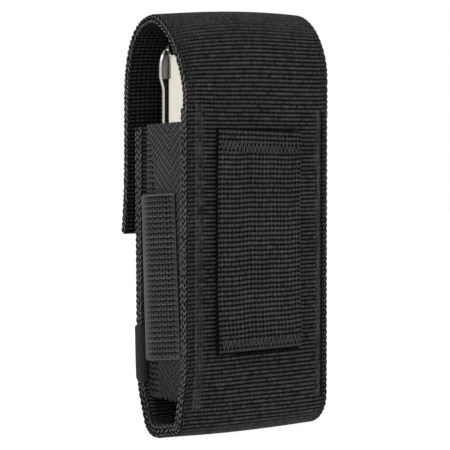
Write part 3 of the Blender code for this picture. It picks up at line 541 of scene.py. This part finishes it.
def noise(nodes, links, vector, scale, detail=3.0, rough=0.55):
    node = nodes.new("ShaderNodeTexNoise")
    node.inputs["Scale"].default_value = scale
    node.inputs["Detail"].default_value = detail
    node.inputs["Roughness"].default_value = rough
    links.new(vector, node.inputs["Vector"])
    return node.outputs["Fac"]


def stripes(nodes, links, vector, period):
    """Fine lines along the cloth, one a period."""
    node = nodes.new("ShaderNodeTexWave")
    node.bands_direction = "X"
    node.inputs["Scale"].default_value = math.pi / (10 * period)
    node.inputs["Distortion"].default_value = 0.6
    node.inputs["Detail"].default_value = 1.5
    node.inputs["Detail Scale"].default_value = 1.2
    links.new(vector, node.inputs["Vector"])
    return node.outputs["Fac"]


def times(nodes, links, first, second):
    node = nodes.new("ShaderNodeMix")
    node.data_type = "RGBA"
    node.blend_type = "MULTIPLY"
    node.inputs[0].default_value = 1.0
    links.new(first, node.inputs[6])
    links.new(second, node.inputs[7])
    return node.outputs[2]


def bump(nodes, links, height, strength, distance, before=None):
    node = nodes.new("ShaderNodeBump")
    node.inputs["Strength"].default_value = strength
    node.inputs["Distance"].default_value = distance
    links.new(height, node.inputs["Height"])
    if before is not None:
        links.new(before, node.inputs["Normal"])
    return node.outputs["Normal"]


# Tint to colour: random flecks, and on strips painted shade towards the foot
FLECK_AND_SHADE = [(0.0, grey(0.2)), (0.5, grey(1.0)), (1.0, grey(1.5))]
DYE_SCALE, DYE = 90.0, [(0.3, grey(0.85)), (0.7, grey(1.12))]
FUZZ_SCALE, FUZZ_STRENGTH, FUZZ_HEIGHT = 5200.0, 0.35, 0.00006
YARN_STRENGTH, YARN_HEIGHT = 0.5, 0.00008
ROUGH_SPREAD = 0.10
SHEEN, SHEEN_ROUGHNESS = 0.02, 0.45
GRAIN_SCALE, GRAIN_HEIGHT = 900.0, 0.00002
STEEL_TONE_SCALE = 28.0


def cloth_material(name, stops, yarn, contrast=0.22, roughness=0.85, gloss=0.05):
    """Woven nylon coloured by stops from its gaps, painted dark as shade, to its crowns; fine yarns, worn
    dye, fuzz.
    """
    made, nodes, links, shader = material(name)
    lift, tint = nodes.new("ShaderNodeAttribute"), nodes.new("ShaderNodeAttribute")
    lift.attribute_name, tint.attribute_name = "lift", "tint"
    cloth = nodes.new("ShaderNodeUVMap")
    cloth.uv_map = "cloth"
    place = nodes.new("ShaderNodeTexCoord").outputs["Object"]
    weave = ramp(nodes, links, lift.outputs["Fac"], stops)
    fleck_and_shade = ramp(nodes, links, tint.outputs["Fac"], FLECK_AND_SHADE)
    lines = stripes(nodes, links, cloth.outputs["UV"], yarn)
    fine = ramp(nodes, links, lines, [(0.1, grey(1 - contrast)), (0.8, grey(1 + contrast))])
    worn = ramp(nodes, links, noise(nodes, links, place, DYE_SCALE), DYE)
    colour = times(nodes, links, times(nodes, links, weave, fleck_and_shade), times(nodes, links, fine, worn))
    links.new(colour, shader.inputs["Base Color"])
    fuzz = noise(nodes, links, place, FUZZ_SCALE, 2.0)
    fuzzy = bump(nodes, links, fuzz, FUZZ_STRENGTH, FUZZ_HEIGHT)
    links.new(bump(nodes, links, lines, YARN_STRENGTH, YARN_HEIGHT, fuzzy), shader.inputs["Normal"])
    low, high = grey(roughness - ROUGH_SPREAD), grey(roughness + ROUGH_SPREAD)
    links.new(ramp(nodes, links, fuzz, [(0.3, low), (0.7, high)]), shader.inputs["Roughness"])
    shader.inputs["Specular IOR Level"].default_value = gloss
    shader.inputs["Sheen Weight"].default_value = SHEEN
    shader.inputs["Sheen Roughness"].default_value = SHEEN_ROUGHNESS
    return made


def steel_material(name, colour, warm, roughness, brushed, direction):
    """Steel with a fine polish along one direction, faint scratches and a slow change of tone."""
    made, nodes, links, shader = material(name)
    place = nodes.new("ShaderNodeTexCoord").outputs["Object"]
    stretch = nodes.new("ShaderNodeMapping")
    stretch.inputs["Scale"].default_value = direction
    links.new(place, stretch.inputs["Vector"])
    grain = noise(nodes, links, stretch.outputs["Vector"], GRAIN_SCALE, 4.0, 0.65)
    tone = noise(nodes, links, place, STEEL_TONE_SCALE, 2.0)
    links.new(ramp(nodes, links, tone, [(0.35, colour), (0.65, warm)]), shader.inputs["Base Color"])
    rough = ramp(nodes, links, grain, [(0.3, grey(roughness * 0.75)), (0.75, grey(roughness * 1.35))])
    links.new(rough, shader.inputs["Roughness"])
    links.new(bump(nodes, links, grain, brushed, GRAIN_HEIGHT), shader.inputs["Normal"])
    shader.inputs["Metallic"].default_value = 1.0
    return made


def tones(gap, low, high, start=0.35, middle=0.68):
    """Colour stops of a weave by its lift: its gaps, near black as painted shade, the flanks of its ribs
    and their crowns.
    """
    return [(start, gap), (middle, low), (0.97, high)]


ALONG_X, ALONG_Y, ALONG_Z = (0.03, 1.0, 1.0), (1.0, 0.03, 1.0), (1.0, 1.0, 0.03)
WEBBING = cloth_material(
    "webbing_charcoal", tones(grey(0.0018), grey(0.018), (0.042, 0.0415, 0.0402), 0.27, 0.58), 1.02
)
LOOP_WEB = cloth_material(
    "belt_loop_charcoal", tones(grey(0.0016), grey(0.018), (0.048, 0.0475, 0.046)), 0.8
)
SELVAGE = cloth_material("selvage_charcoal", tones(grey(0.002), grey(0.03), (0.100, 0.102, 0.101)), 0.35)
ELASTIC = cloth_material(
    "elastic_grey", tones(grey(0.003), grey(0.034), (0.121, 0.121, 0.117), 0.1, 0.5), 0.40, 0.3
)
TWILL = cloth_material(
    "twill_blue_grey", tones(grey(0.003), (0.030, 0.031, 0.033), (0.082, 0.083, 0.088), 0.15, 0.5), 0.5
)
SATIN = cloth_material(
    "satin_plain", tones(grey(0.004), grey(0.0065), (0.0100, 0.0100, 0.0110), 0.1, 0.5),
    0.2, 0.06, roughness=0.6, gloss=0.15,
)
FASTENER = cloth_material("touch_fastener_black", tones(grey(0.001), grey(0.003), grey(0.008)), 0.5)
THREAD = cloth_material("thread_charcoal", tones(grey(0.010), grey(0.028), (0.056, 0.056, 0.0545)), 0.3)
POLISHED = steel_material(
    "polished_steel", (0.79, 0.77, 0.72), (0.78, 0.74, 0.645), 0.16, 0.05, ALONG_Z
)
PLATE_STEEL = steel_material(
    "plate_steel", (0.60, 0.60, 0.585), (0.50, 0.50, 0.49), 0.26, 0.08, ALONG_Z
)
SATIN_STEEL = steel_material(
    "satin_steel", (0.42, 0.42, 0.41), (0.34, 0.34, 0.335), 0.34, 0.10, ALONG_X
)
SPACER_STEEL = steel_material(
    "spacer_steel", (0.34, 0.34, 0.32), (0.20, 0.20, 0.19), 0.36, 0.10, ALONG_Y
)


# Webbing of the sheath and its flap
FAR_CORNERS = [(FRONT - 0.3, FRONT_TOP), (FRONT, 0.0), (BACK, -0.3), (BACK, SPLIT_Z)]
NEAR_CORNERS = [
    (FRONT - 0.6, FRONT_TOP), (FRONT + 0.1, 14.0), (-7.0, -1.3), (9.4, 2.5),
    (BACK - 0.2, 20.0), (BACK, SPLIT_Z),
]
sheath = Sheet(
    sheath_curve(FAR_CORNERS, (10.5, 9.0)),
    sheath_curve(NEAR_CORNERS, (30.0, 6.0, 3.5, 40.0)),
    lean=[2.0, 2.0, 4.0, 2.0, 2.0, 2.0],
    thick=[WEB_THICK] * 2,
    swell=[0.9, 0.2, 0.2, 0.6, 1.5, 0.6, 0.2, -0.5, 0.0, 0.0, 0.0],
    skew=[0.0, 0.0, 0.0, 0.0, SPLIT_SKEW / 3, SPLIT_SKEW],
    half=HALF,
)
flap = Sheet(
    flap_curve(
        foot=(-1.9, 102.0), front=15.7, rear_power=1.8, front_power=2.0, peak=FLAP_PEAK - 0.4,
        hang_y=-19.5, flare=0.0, end_z=FLAP_END,
    ),
    flap_curve(
        foot=(-4.5, 94.0), front=14.4, rear_power=1.575, front_power=2.45, peak=117.7,
        hang_y=-18.9, flare=1.7, end_z=FLAP_END - 1.0,
    ),
    lean=[2.0, 3.4, 3.6, 1.15, 1.4, 1.6, 1.5, 1.5],
    thick=[2.1, 2.1, 2.0, 2.6, 2.7, 2.3, 2.2, 2.2],
    swell=[0.0] * 2,
    skew=[SPLIT_SKEW, SPLIT_SKEW, SPLIT_SKEW / 2, 0.0, 0.0, 0.0],
    half=HALF,
)
edge_yarns = np.linspace(HALF - EDGE_RECESS, SEAM_X - 0.6, EDGE_YARNS)
middle_yarns = np.linspace(-BODY_YARN_REACH, BODY_YARN_REACH, BODY_YARNS)
body_yarns = np.concatenate([-edge_yarns, middle_yarns, edge_yarns[::-1]])
at_edge = np.abs(body_yarns) > SEAM_X + 0.4
on_rib, in_gap = np.where(at_edge, EDGE_ON_RIB, BODY_ON_RIB), np.where(at_edge, EDGE_IN_GAP, 0.0)
seam_bands = [(x, SEAM_LOW, SEAM_HIGH) for x in (SEAM_PRESSED_X, -FAR_SEAM_X)]
# Painted shadow along the belt loop's ends, and painted shade beside the far seam
loop_span = LOOP_LEFT + LOOP_SHIFT - GROOVE_PAST_LEFT, LOOP_RIGHT + LOOP_SHIFT - GROOVE_SHORT_RIGHT
shade_grooves = [
    (*loop_span, LOOP_LOW - GROOVE_BELOW, LOOP_LOW + GROOVE_UNDER, GROOVE_SINK_AND_SHADE),
    (*loop_span, LOOP_HIGH - GROOVE_UNDER, LOOP_HIGH + GROOVE_ABOVE, GROOVE_SINK_AND_SHADE),
    (-FAR_SEAM_X - FAR_GROOVE_OUT, -FAR_SEAM_X - FAR_GROOVE_IN, SEAM_LOW, SEAM_HIGH, FAR_GROOVE_SINK_AND_SHADE),
]


def inner_yarns(count):
    return np.linspace(HALF - EDGE_RECESS, EDGE_RECESS - HALF, count)


# The sheath's few inner yarns can't hold beads, so its ribs are plain inside
sheath_web = woven(
    "sheath_band", sheath, RIB_PITCH, WEBBING, body_yarns, inner_yarns(SHEATH_INNER_YARNS),
    on_rib, in_gap, EDGE_BEAD, (True, False), seam_bands, shade_grooves, inside_bead=math.inf,
)
flap_web = woven(
    "flap_band", flap, RIB_PITCH, WEBBING, body_yarns, inner_yarns(FLAP_INNER_YARNS),
    on_rib, in_gap, EDGE_BEAD, (False, True), seam_bands,
)
sheath_edge = selvage("sheath_selvage", sheath, SELVAGE, (0.2, 0.5, 0.8), (True, False))
flap_edge = selvage("flap_selvage", flap, SELVAGE, (0.25, 0.75), (False, True))

# Belt loop
loop_curve = spline([
    (LOOP_Y + LOOP_RISE_LOW, LOOP_LOW - 0.2), (LOOP_Y + LOOP_RISE_LOW, LOOP_LOW + 4),
    (LOOP_Y + LOOP_RISE_LOW / 2, LOOP_LOW + 9), (LOOP_Y, LOOP_LOW + 16), (LOOP_Y, LOOP_LOW + 26),
    (LOOP_Y, LOOP_HIGH - 26), (LOOP_Y, LOOP_HIGH - 16), (LOOP_Y + LOOP_RISE_HIGH / 2, LOOP_HIGH - 9),
    (LOOP_Y + LOOP_RISE_HIGH, LOOP_HIGH - 4), (LOOP_Y + LOOP_RISE_HIGH, LOOP_HIGH + 0.1),
], 300)
loop_half = (LOOP_RIGHT - LOOP_LEFT) / 2
belt_sheet = Sheet(
    loop_curve, loop_curve,
    lean=[1.0] * 2,
    thick=LOOP_THICK + loop_curve[:, 0] - LOOP_Y,
    swell=[0.0] * 2,
    skew=[LOOP_SKEW] * 2,
    half=loop_half,
    middle=(LOOP_LEFT + LOOP_RIGHT) / 2 + LOOP_SHIFT,
)
loop_yarns = np.linspace(LOOP_RECESS - loop_half, loop_half - LOOP_RECESS, LOOP_YARNS)
belt = woven(
    "belt_loop_band", belt_sheet, LOOP_PITCH, LOOP_WEB, loop_yarns, loop_yarns[::-10],
    np.full(LOOP_YARNS, LOOP_ON_RIB), np.full(LOOP_YARNS, LOOP_IN_GAP), LOOP_BEAD, (True, True),
    recess=LOOP_RECESS, wall_lift=LOOP_WALL_LIFT,
)


# Stitching
def stitch_row(name, sheet, x, low, high):
    """Lock stitches down a seam, each dipping into the webbing at both ends."""
    share = np.array([0.0, 0.08, 0.3, 0.7, 0.92, 1.0])
    rise = np.array([-0.45, -0.05, 0.10, 0.10, -0.05, -0.45]) - STITCH_SUNK
    paths = []
    for start in np.arange(low, high, STITCH_PITCH):
        here, out = sheet.place(np.full(len(share), x), start + STITCH_SPAN * share)
        sway = STITCH_SWAY * rng.normal(size=len(share))
        paths.append(np.column_stack([x + sway, here + out * rise[:, None]]))
    return tubes(name, paths, STITCH_RADIUS, THREAD)


threads = []
for seam_x, label in ((SEAM_X, "right"), (-FAR_SEAM_X, "left")):
    back_span = sheath.distance_at(SEAM_LOW, True), sheath.length - STITCH_END
    threads.append(stitch_row("seam_back_" + label, sheath, seam_x, *back_span))
    front_span = sheath.distance_at(FRONT_SEAM_HIGH, False), sheath.distance_at(FRONT_SEAM_LOW, False)
    threads.append(stitch_row("seam_front_" + label, sheath, seam_x, *front_span))


def bar_tack(name, corners, y):
    """Zigzag of thread from side to side, each thread bowed out of the webbing."""
    (left, _, low), (right, _, high) = corners
    share = np.array([0.0, 0.14, 0.5, 0.86])[:, None]
    bow = [-0.20, 0.02, 0.14, 0.02]
    paths = []
    for shift, sway in TACK_PASSES:
        x = np.arange(left + shift, right, TACK_STEP) + LOOP_SHIFT
        z = np.where(np.arange(len(x)) % 2, high - TACK_MARGIN, low + TACK_MARGIN)
        z = z + TACK_LOOSE_Z * rng.normal(size=len(x))
        zig = np.column_stack([x + sway, y + TACK_LOOSE_Y * rng.normal(size=len(x)), z])
        dense = (zig[:-1, None] + (zig[1:] - zig[:-1])[:, None] * share).reshape(-1, 3)
        dense[:, 1] += np.tile(bow, len(zig) - 1)
        paths.append(dense)
    return tubes(name, paths, TACK_RADIUS, THREAD, 5)


tacks = {
    "top": bar_tack("bar_tack_zigzag_top", TACKS["top"], LOOP_Y + LOOP_RISE_HIGH + TACK_STAND),
    "bottom": bar_tack("bar_tack_zigzag_bottom", TACKS["bottom"], LOOP_Y + LOOP_RISE_LOW + TACK_STAND),
}


# Elastic, tape and label: strips that stand on edge
def standing(name, foot_line, top_line, foot, top, thick, relief, rows, pattern, made, side=1, flare=1.0):
    """Strip whose outer face follows one (x, y) line at its foot and another at its top.

    foot and top are its end heights along the line. pattern gives the lift and tint of the weave.
    A high flare keeps the foot's line for longer.
    """
    v = np.linspace(0, 1, rows)[:, None]
    line = foot_line + (top_line - foot_line) * v[..., None] ** flare
    step = np.gradient(line, axis=1)
    step /= np.linalg.norm(step, axis=2, keepdims=True)
    out = np.stack([step[..., 1], -step[..., 0]], -1)
    u = along_curve(foot_line)
    foot, top = foot + 0 * u, top + 0 * u
    z = foot + v * (top - foot)
    lift, tint = pattern(u, z, z - foot, top - z)
    near_end = np.clip(np.minimum(z - foot, top - z) / (thick / 2 + STRIP_END_MARGIN), 0, 1)
    body = np.sqrt(np.clip(1 - (1 - near_end) ** 2, STRIP_LEAST_END, 1))
    front = out * (relief * (lift - 1) * body - thick / 2 * (1 - body))[..., None]
    rear = out * (-thick / 2 * (1 + body))[..., None]
    flat = np.concatenate([line + front, (line + rear)[:, ::-1]], 1)
    height = np.concatenate([z, z[:, ::-1]], 1)
    points = np.concatenate([flat * (side, 1), height[..., None]], 2)
    across = np.broadcast_to(np.concatenate([u, u[::-1]]), height.shape)
    lift = np.concatenate([lift, 0 * lift + STRIP_BACK], 1)
    tint = np.concatenate([tint, 0 * tint + STRIP_BACK], 1)
    return loft(name, points, made, lift, tint, np.stack([across, height], -1))


def rib(phase, power):
    """A round rib: 0 in the gap, 1 on its crown."""
    return np.clip(1 - (2 * (phase % 1) - 1) ** 2, 0, 1) ** power


def painted_foot_shade(up):
    """Painted shade: tint that darkens towards the foot of a strip."""
    return 0.5 - SHADE * np.clip(1 - up / SHADE_REACH, 0, 1)


def elastic(pitch):
    """Ribbed elastic: thin light ridges over zigzag gaps and fine ticks.

    Its front edge is smooth, with a raised rim painted lighter as a highlight, its rear edge is a plain
    border and its ends are bound.
    """
    def pattern(u, z, up, down):
        column = u / ELASTIC_TICKS
        tick = 0.5 + 0.5 * np.cos(2 * math.pi * column)
        tall = up + down
        phase = down / tall * np.round(tall.mean() / pitch) - RIDGE_PHASE
        ridge = np.exp(-((((phase + 0.5) % 1 - 0.5) / RIDGE_WIDTH) ** 2))
        number = np.round(phase).astype(int)
        ridge *= rng.uniform(RIDGE_LEAST, 1.0, number.max() + 1)[number]
        zigzag = GAP_ZIGZAG * np.cos(math.pi * column)
        gap = np.exp(-((((phase + GAP_PHASE + zigzag) % 1 - 0.5) / GAP_WIDTH) ** 2))
        # Painted highlight on the raised rim near the front edge
        rim_highlight = np.exp(-(((u - RIM_IN) / RIM_WIDTH) ** 2))
        loose = rng.normal(0, 1, z.shape)
        sunk = TICK_SINK * tick * (1 - TICK_FADE * ridge)
        ribbed = RIBBED_LIFT + RIDGE_LIFT * ridge - GAP_SINK * gap - sunk + FRAY_LIFT * loose
        smooth = SMOOTH_LIFT + SMOOTH_RIDGE * ridge + RIM_HIGHLIGHT_LIFT * rim_highlight
        border = np.clip(1.6 - (u[-1] - u) / ELASTIC_BORDER, 0, 1)
        folded = np.clip(1.5 - u / ELASTIC_SMOOTH_FRONT, 0, 1)
        bound = np.clip(2 - np.minimum(up, down) / ELASTIC_HEM * 1.3, 0, 1)
        lift = ribbed * (1 - folded) + smooth * folded
        lift = lift * (1 - border) + (BORDER_LIFT + BORDER_RIDGE * ridge) * border
        lift = lift * (1 - bound) + BOUND_LIFT * bound
        # The tint darkens towards the foot as painted shade
        return np.clip(lift, 0, 1), painted_foot_shade(z - GUSSET_LOW) + STRIP_LOOSE * loose * (1 - folded)
    return pattern


def herringbone(u, z, up, down):
    """Twill: raised diagonals meeting on a line along the tape, a plain border, painted shade at the
    foot.
    """
    arm = np.abs(u - TWILL_MEET * u[-1])
    row = (z + TWILL_SLOPE * arm) / TWILL_PITCH
    diagonal = rib(row, 0.7)
    knots = 0.5 + 0.5 * np.cos(2 * math.pi * (u / TWILL_KNOT + 0.5 * np.floor(row)))
    lift = diagonal * (0.5 + 0.5 * knots)
    border = np.clip(np.minimum(u, u[-1] - u) / TWILL_BORDER, 0, 1)
    lift = lift * border + (0.35 + 0.6 * rib(z / TWILL_PITCH, 0.8)) * (1 - border)
    return lift, painted_foot_shade(up) + STRIP_LOOSE * rng.normal(size=z.shape)


def satin(u, z, up, down):
    """Plain band with a turned hem above and below and a few soft ripples."""
    hem = np.clip(1.2 - np.abs(np.minimum(up, down) - LABEL_HEM) / LABEL_HEM_HALF, 0, 1)
    ripple = LABEL_RIPPLE * drift(len(u), LABEL_RIPPLE_STEPS, LABEL_SEED)
    ripple = ripple * np.sin(math.pi * up / (up + down))
    return np.clip(0.6 + 0.3 * hem + ripple, 0, 1), 0.5 + 0.05 * rng.normal(size=z.shape)


def pinked(u):
    """Scalloped lower edge of the tape."""
    scallop = np.abs(np.sin(math.pi * u / u[-1] * TAPE_PINKS)) ** 0.65
    return TAPE_LOW + TAPE_PINK_UP + TAPE_PINK_DEPTH * (1 - scallop)


INNER_FRONT, INNER_BACK = FRONT + WEB_THICK, BACK - WEB_THICK
GUSSET_LINE = spline([
    (GUSSET_X - 3.2, INNER_FRONT - 0.6), (GUSSET_X - 1.5, INNER_FRONT - 0.6),
    (GUSSET_X - 0.45, INNER_FRONT - 0.3), (GUSSET_X - 0.05, INNER_FRONT + 0.6),
    (GUSSET_X, INNER_FRONT + 4), (GUSSET_X, 0), (GUSSET_X, INNER_BACK - 4),
    (GUSSET_X - 0.1, INNER_BACK - 1.6), (GUSSET_X - 0.6, INNER_BACK - 0.6),
    (GUSSET_X - 1.8, INNER_BACK - 0.3), (GUSSET_X - 3.2, INNER_BACK - 0.3),
], 100)


def pocket_line(front_y, rear_y, bulge):
    """The pocket's outer face, from the front panel's edge to the back panel's."""
    return spline([
        (POCKET_X - 1.7, front_y), (POCKET_X - 1.2, front_y + 0.3), (POCKET_X - 0.75, front_y + 1.2),
        (POCKET_X - 0.4, front_y + 3), (POCKET_X - 0.25 + bulge, -2), (POCKET_X - 0.25 + bulge, 2),
        (POCKET_X - 0.6, rear_y - 3), (POCKET_X - 0.9, rear_y - 1), (POCKET_X - 1.1, rear_y),
    ], 100)


def tape_line(front_y):
    """The tape's outer face, from its front edge to the back panel."""
    return spline([
        (TAPE_X - 0.4, front_y), (TAPE_X - 0.05, front_y + 0.6), (TAPE_X, 0), (TAPE_X, 3), (TAPE_X, 6),
        (TAPE_X, 8.4), (TAPE_X - 0.2, 9.3),
    ], 56)


right_edge = [
    (LABEL_X - 2.2, INNER_FRONT + 1.2), (LABEL_X - 1.3, INNER_FRONT + 1.1),
    (LABEL_X - 0.6, INNER_FRONT + 0.2), (LABEL_X - 0.4, FRONT + 1.2), (LABEL_X - 0.6, FRONT + 0.1),
    (LABEL_X - 1.3, FRONT - 0.5), (LABEL_X - 2.6, FRONT - LABEL_STAND),
]
middle_run = [(x, FRONT - LABEL_STAND) for x in (16, 8, 0, -8, -16)]
left_edge = [(-x, y) for x, y in right_edge[::-1]]
LABEL_LINE = spline((right_edge + middle_run + left_edge)[::-1], 150)
label_lean = LABEL_LEAN * np.clip(LABEL_LINE[:, 0] / HALF, 0, 1)
label_band = standing(
    "label_satin", LABEL_LINE + np.column_stack([0 * label_lean, label_lean]), LABEL_LINE,
    LABEL_LOW, LABEL_HIGH + LABEL_TOP_RISE, LABEL_THICK, LABEL_RELIEF, LABEL_ROWS, satin, SATIN,
    flare=LABEL_FLARE,
)
gussets, pockets, tapes = {}, {}, {}
for side, label in ((1, "right"), (-1, "left")):
    tilt = np.linspace(-0.5, 0.5, len(GUSSET_LINE))
    rear_half = np.clip((tilt + GUSSET_FOOT_SLOPE) / GUSSET_FOOT_SLOPE, 0, 1)
    gusset_foot = GUSSET_LOW + GUSSET_FOOT_STEP * rear_half
    gusset_top = FRONT_TOP - GUSSET_TOP_TILT * tilt
    gussets[label] = standing(
        "gusset_elastic_" + label, GUSSET_LINE, GUSSET_LINE, gusset_foot, gusset_top,
        ELASTIC_THICK, GUSSET_RELIEF, GUSSET_ROWS, elastic(GUSSET_PITCH), ELASTIC, side,
    )
    low_line = pocket_line(INNER_FRONT + 1.8, INNER_BACK - 0.1, 0.0)
    high_line = pocket_line(INNER_FRONT - 0.4, INNER_BACK - 3.0, POCKET_BULGE)
    tilt = np.linspace(-0.5, 0.5, len(low_line))
    pocket_foot = POCKET_LOW + POCKET_FOOT_TILT * tilt
    pocket_top = POCKET_HIGH + POCKET_TOP_TILT * tilt
    pockets[label] = standing(
        "pocket_elastic_" + label, low_line, high_line, pocket_foot, pocket_top,
        ELASTIC_THICK, POCKET_RELIEF, POCKET_ROWS, elastic(POCKET_PITCH), ELASTIC, side,
    )
    low_line, high_line = tape_line(TAPE_FOOT_Y), tape_line(TAPE_TOP_Y)
    tape_foot = pinked(np.linspace(0, 1, len(low_line)) * TAPE_PINK_SPAN)
    tapes[label] = standing(
        "twill_" + label, low_line, high_line, tape_foot, FRONT_TOP + TAPE_TOP_RISE,
        TAPE_THICK, TAPE_RELIEF, TAPE_ROWS, herringbone, TWILL, side, TAPE_FLARE,
    )


# Touch fastener. One hook is given from its foot to its bent tip: share of its height, lean and width
PILE_ACROSS, PILE_UP = 106, 64
PILE_MEAN, PILE_SPREAD, PILE_EDGE, PILE_BASE = 0.55, 0.28, 0.8, 0.35
HOOK = ((0.0, 0.0, 1.0), (0.55, 0.0, 0.9), (0.86, 0.14, 0.8), (0.98, 0.36, 0.55))
HOOK_PITCH, HOOK_HALF_WIDTH, HOOK_TAPE_SHARE = 1.15, 0.15, 0.4
HOOK_START, HOOK_STOP = 1, 0.9


def pile_pad(name, corners):
    """Loop side: a pad of matted pile."""
    (_, y_face, low), (half, y_back, high) = corners
    across, up = PILE_ACROSS, PILE_UP
    x = np.linspace(-half, half, across)
    z = np.linspace(low, high, up)
    rough = rng.normal(size=(up, across))
    rough = (rough + np.roll(rough, 1, 0) + np.roll(rough, 1, 1) + np.roll(rough, -1, 1)) / 2.2
    edge = np.minimum(np.minimum(x + half, half - x)[None], np.minimum(z - low, high - z)[:, None])
    height = np.clip(PILE_MEAN + PILE_SPREAD * rough, 0, 1) * np.clip(edge / PILE_EDGE, 0, 1) ** 0.5
    points = np.empty((up, 2 * across, 3))
    points[..., 0] = np.concatenate([x, x[::-1]])
    points[:, :across, 1] = y_back + (y_face - y_back) * (PILE_BASE + (1 - PILE_BASE) * height)
    points[:, across:, 1] = y_back
    points[..., 2] = z[:, None]
    lift = np.concatenate([height, 0 * height], 1)
    return loft(name, points, FASTENER, lift, 0.5 + 0 * lift, points[..., [0, 2]])


def hook_pad(name, corners):
    """Hook side: rows of bent bristles on a thin tape."""
    (_, y_back, low), (half, y_face, high) = corners
    base_y = y_back + (y_face - y_back) * HOOK_TAPE_SHARE
    tape = np.array([(-half, low), (half, low), (half, high), (-half, high)])
    rings = [(tape, y_back), (tape * (0.995, 1), base_y)]
    points = [np.insert(ring, 1, y, axis=1) for ring, y in rings]
    faces = ring_faces(2, 4)
    count = 8
    square = np.array([(-1, -1), (1, -1), (1, 1), (-1, 1)]) * HOOK_HALF_WIDTH
    for x in np.arange(-half + HOOK_START, half - HOOK_STOP, HOOK_PITCH):
        for row, z in enumerate(np.arange(low + HOOK_START, high - HOOK_STOP, HOOK_PITCH)):
            bent = 1 if row % 2 else -1
            for share, lean, width in HOOK:
                ring = square * width + (x, z + lean * bent)
                points.append(np.insert(ring, 1, base_y + (y_face - base_y) * share, axis=1))
            faces += ring_faces(len(HOOK), 4, count)
            count += 4 * len(HOOK)
    flat = np.concatenate(points)
    obj = mesh_object(name, flat, faces, FASTENER, False)
    paint(obj, np.full(count, 0.8), np.full(count, 0.5), flat[:, [0, 2]])
    return obj


loop_pad = pile_pad("touch_loop", LOOP_PAD_BOX)
hook_side = hook_pad("touch_hook", HOOK_PAD_BOX)


# Steel of the tool
FINISH = {"handle_channel": POLISHED, "plate": PLATE_STEEL, "head_spacer": SPACER_STEEL}
for name in frame["record"]["behaviour"]["bodies"]["tool"]:
    steel = next((FINISH[key] for key in FINISH if name.startswith(key)), SATIN_STEEL)
    node = frame["nodes"][name]
    node.data.materials.clear()
    node.data.materials.append(steel)


# Which CAD solid each woven piece stands for, and what it rides on
on_sheath = {
    "webbing": [(sheath_web, "sheath_webbing"), (belt, "belt_loop")],
    "thread": [(piece, "bar_tack_" + label) for label, piece in tacks.items()],
    "satin_label": [(label_band, "label_band")],
    "touch_fastener": [(loop_pad, "loop_patch")],
    "elastic": [(piece, "gusset_" + label) for label, piece in gussets.items()],
    "twill": [(piece, "twill_tape_" + label) for label, piece in tapes.items()],
}
on_sheath["elastic"] += [(piece, "side_pocket_" + label) for label, piece in pockets.items()]
for slot, pairs in on_sheath.items():
    for piece, node in pairs:
        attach(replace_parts(piece, node), "sheath")
for piece in threads:
    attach(piece, "sheath")
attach(sheath_edge, "sheath")
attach(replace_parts(hook_side, "hook_patch"), "flap")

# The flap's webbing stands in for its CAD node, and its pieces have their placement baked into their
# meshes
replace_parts(flap_web, "flap_webbing")
for piece in (flap_web, flap_edge):
    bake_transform(piece)


# Floor, light and camera
FLOOR_REACH, FLOOR_LEVEL = 4000, -0.05
FLOOR_TONES = [(0.3, grey(0.09)), (0.7, grey(0.11))]
FLOOR_GLOW = 0.97
KEY_PLACE, KEY_TARGET = (0.55, 0.30, 0.55), (0.0, 0.0, 0.06)
KEY_SIZE, KEY_POWER = 0.5, 1.0
CAMERA_PLACE = (0.20510, 0.2677, 0.06583)
CAMERA_DIP, CAMERA_TURN = 0.0203942, 2.49480907
LENS, SENSOR_WIDTH = 93.4875, 36.0


def floor():
    made, nodes, links, shader = material("floor_white")
    place = nodes.new("ShaderNodeTexCoord").outputs["Object"]
    tone = ramp(nodes, links, noise(nodes, links, place, 3.0), FLOOR_TONES)
    links.new(tone, shader.inputs["Base Color"])
    shader.inputs["Roughness"].default_value = 0.9
    shader.inputs["Emission Color"].default_value = (1.0, 1.0, 1.0, 1.0)
    shader.inputs["Emission Strength"].default_value = FLOOR_GLOW
    square = ((-1, -1), (1, -1), (1, 1), (-1, 1))
    corners = [(x * FLOOR_REACH, y * FLOOR_REACH, FLOOR_LEVEL) for x, y in square]
    mesh_object("floor", corners, [[0, 1, 2, 3]], made, False)


def area_light(name, place, target, size, power):
    data = bpy.data.lights.new(name, "AREA")
    data.size = size
    data.energy = power
    obj = bpy.data.objects.new(name, data)
    bpy.context.scene.collection.objects.link(obj)
    obj.location = place
    x, y, z = np.array(target) - np.array(place)
    obj.rotation_euler = (math.atan2(math.hypot(x, y), -z), 0.0, math.atan2(-x, y))


floor()
world = bpy.data.worlds.new("studio")
world.use_nodes = True
world.node_tree.nodes["Background"].inputs["Color"].default_value = (1.0, 1.0, 1.0, 1.0)
world.node_tree.nodes["Background"].inputs["Strength"].default_value = 1.0
scene = bpy.context.scene
scene.world = world
scene.view_settings.view_transform = "Standard"
area_light("key", KEY_PLACE, KEY_TARGET, KEY_SIZE, KEY_POWER)

data = bpy.data.cameras.new("photo_view")
data.lens = LENS
data.sensor_width = SENSOR_WIDTH
data.clip_start = 0.01
camera = bpy.data.objects.new("photo_view", data)
scene.collection.objects.link(camera)
camera.location = CAMERA_PLACE
camera.rotation_euler = (math.pi / 2 - CAMERA_DIP, 0.0, CAMERA_TURN)
scene.camera = camera
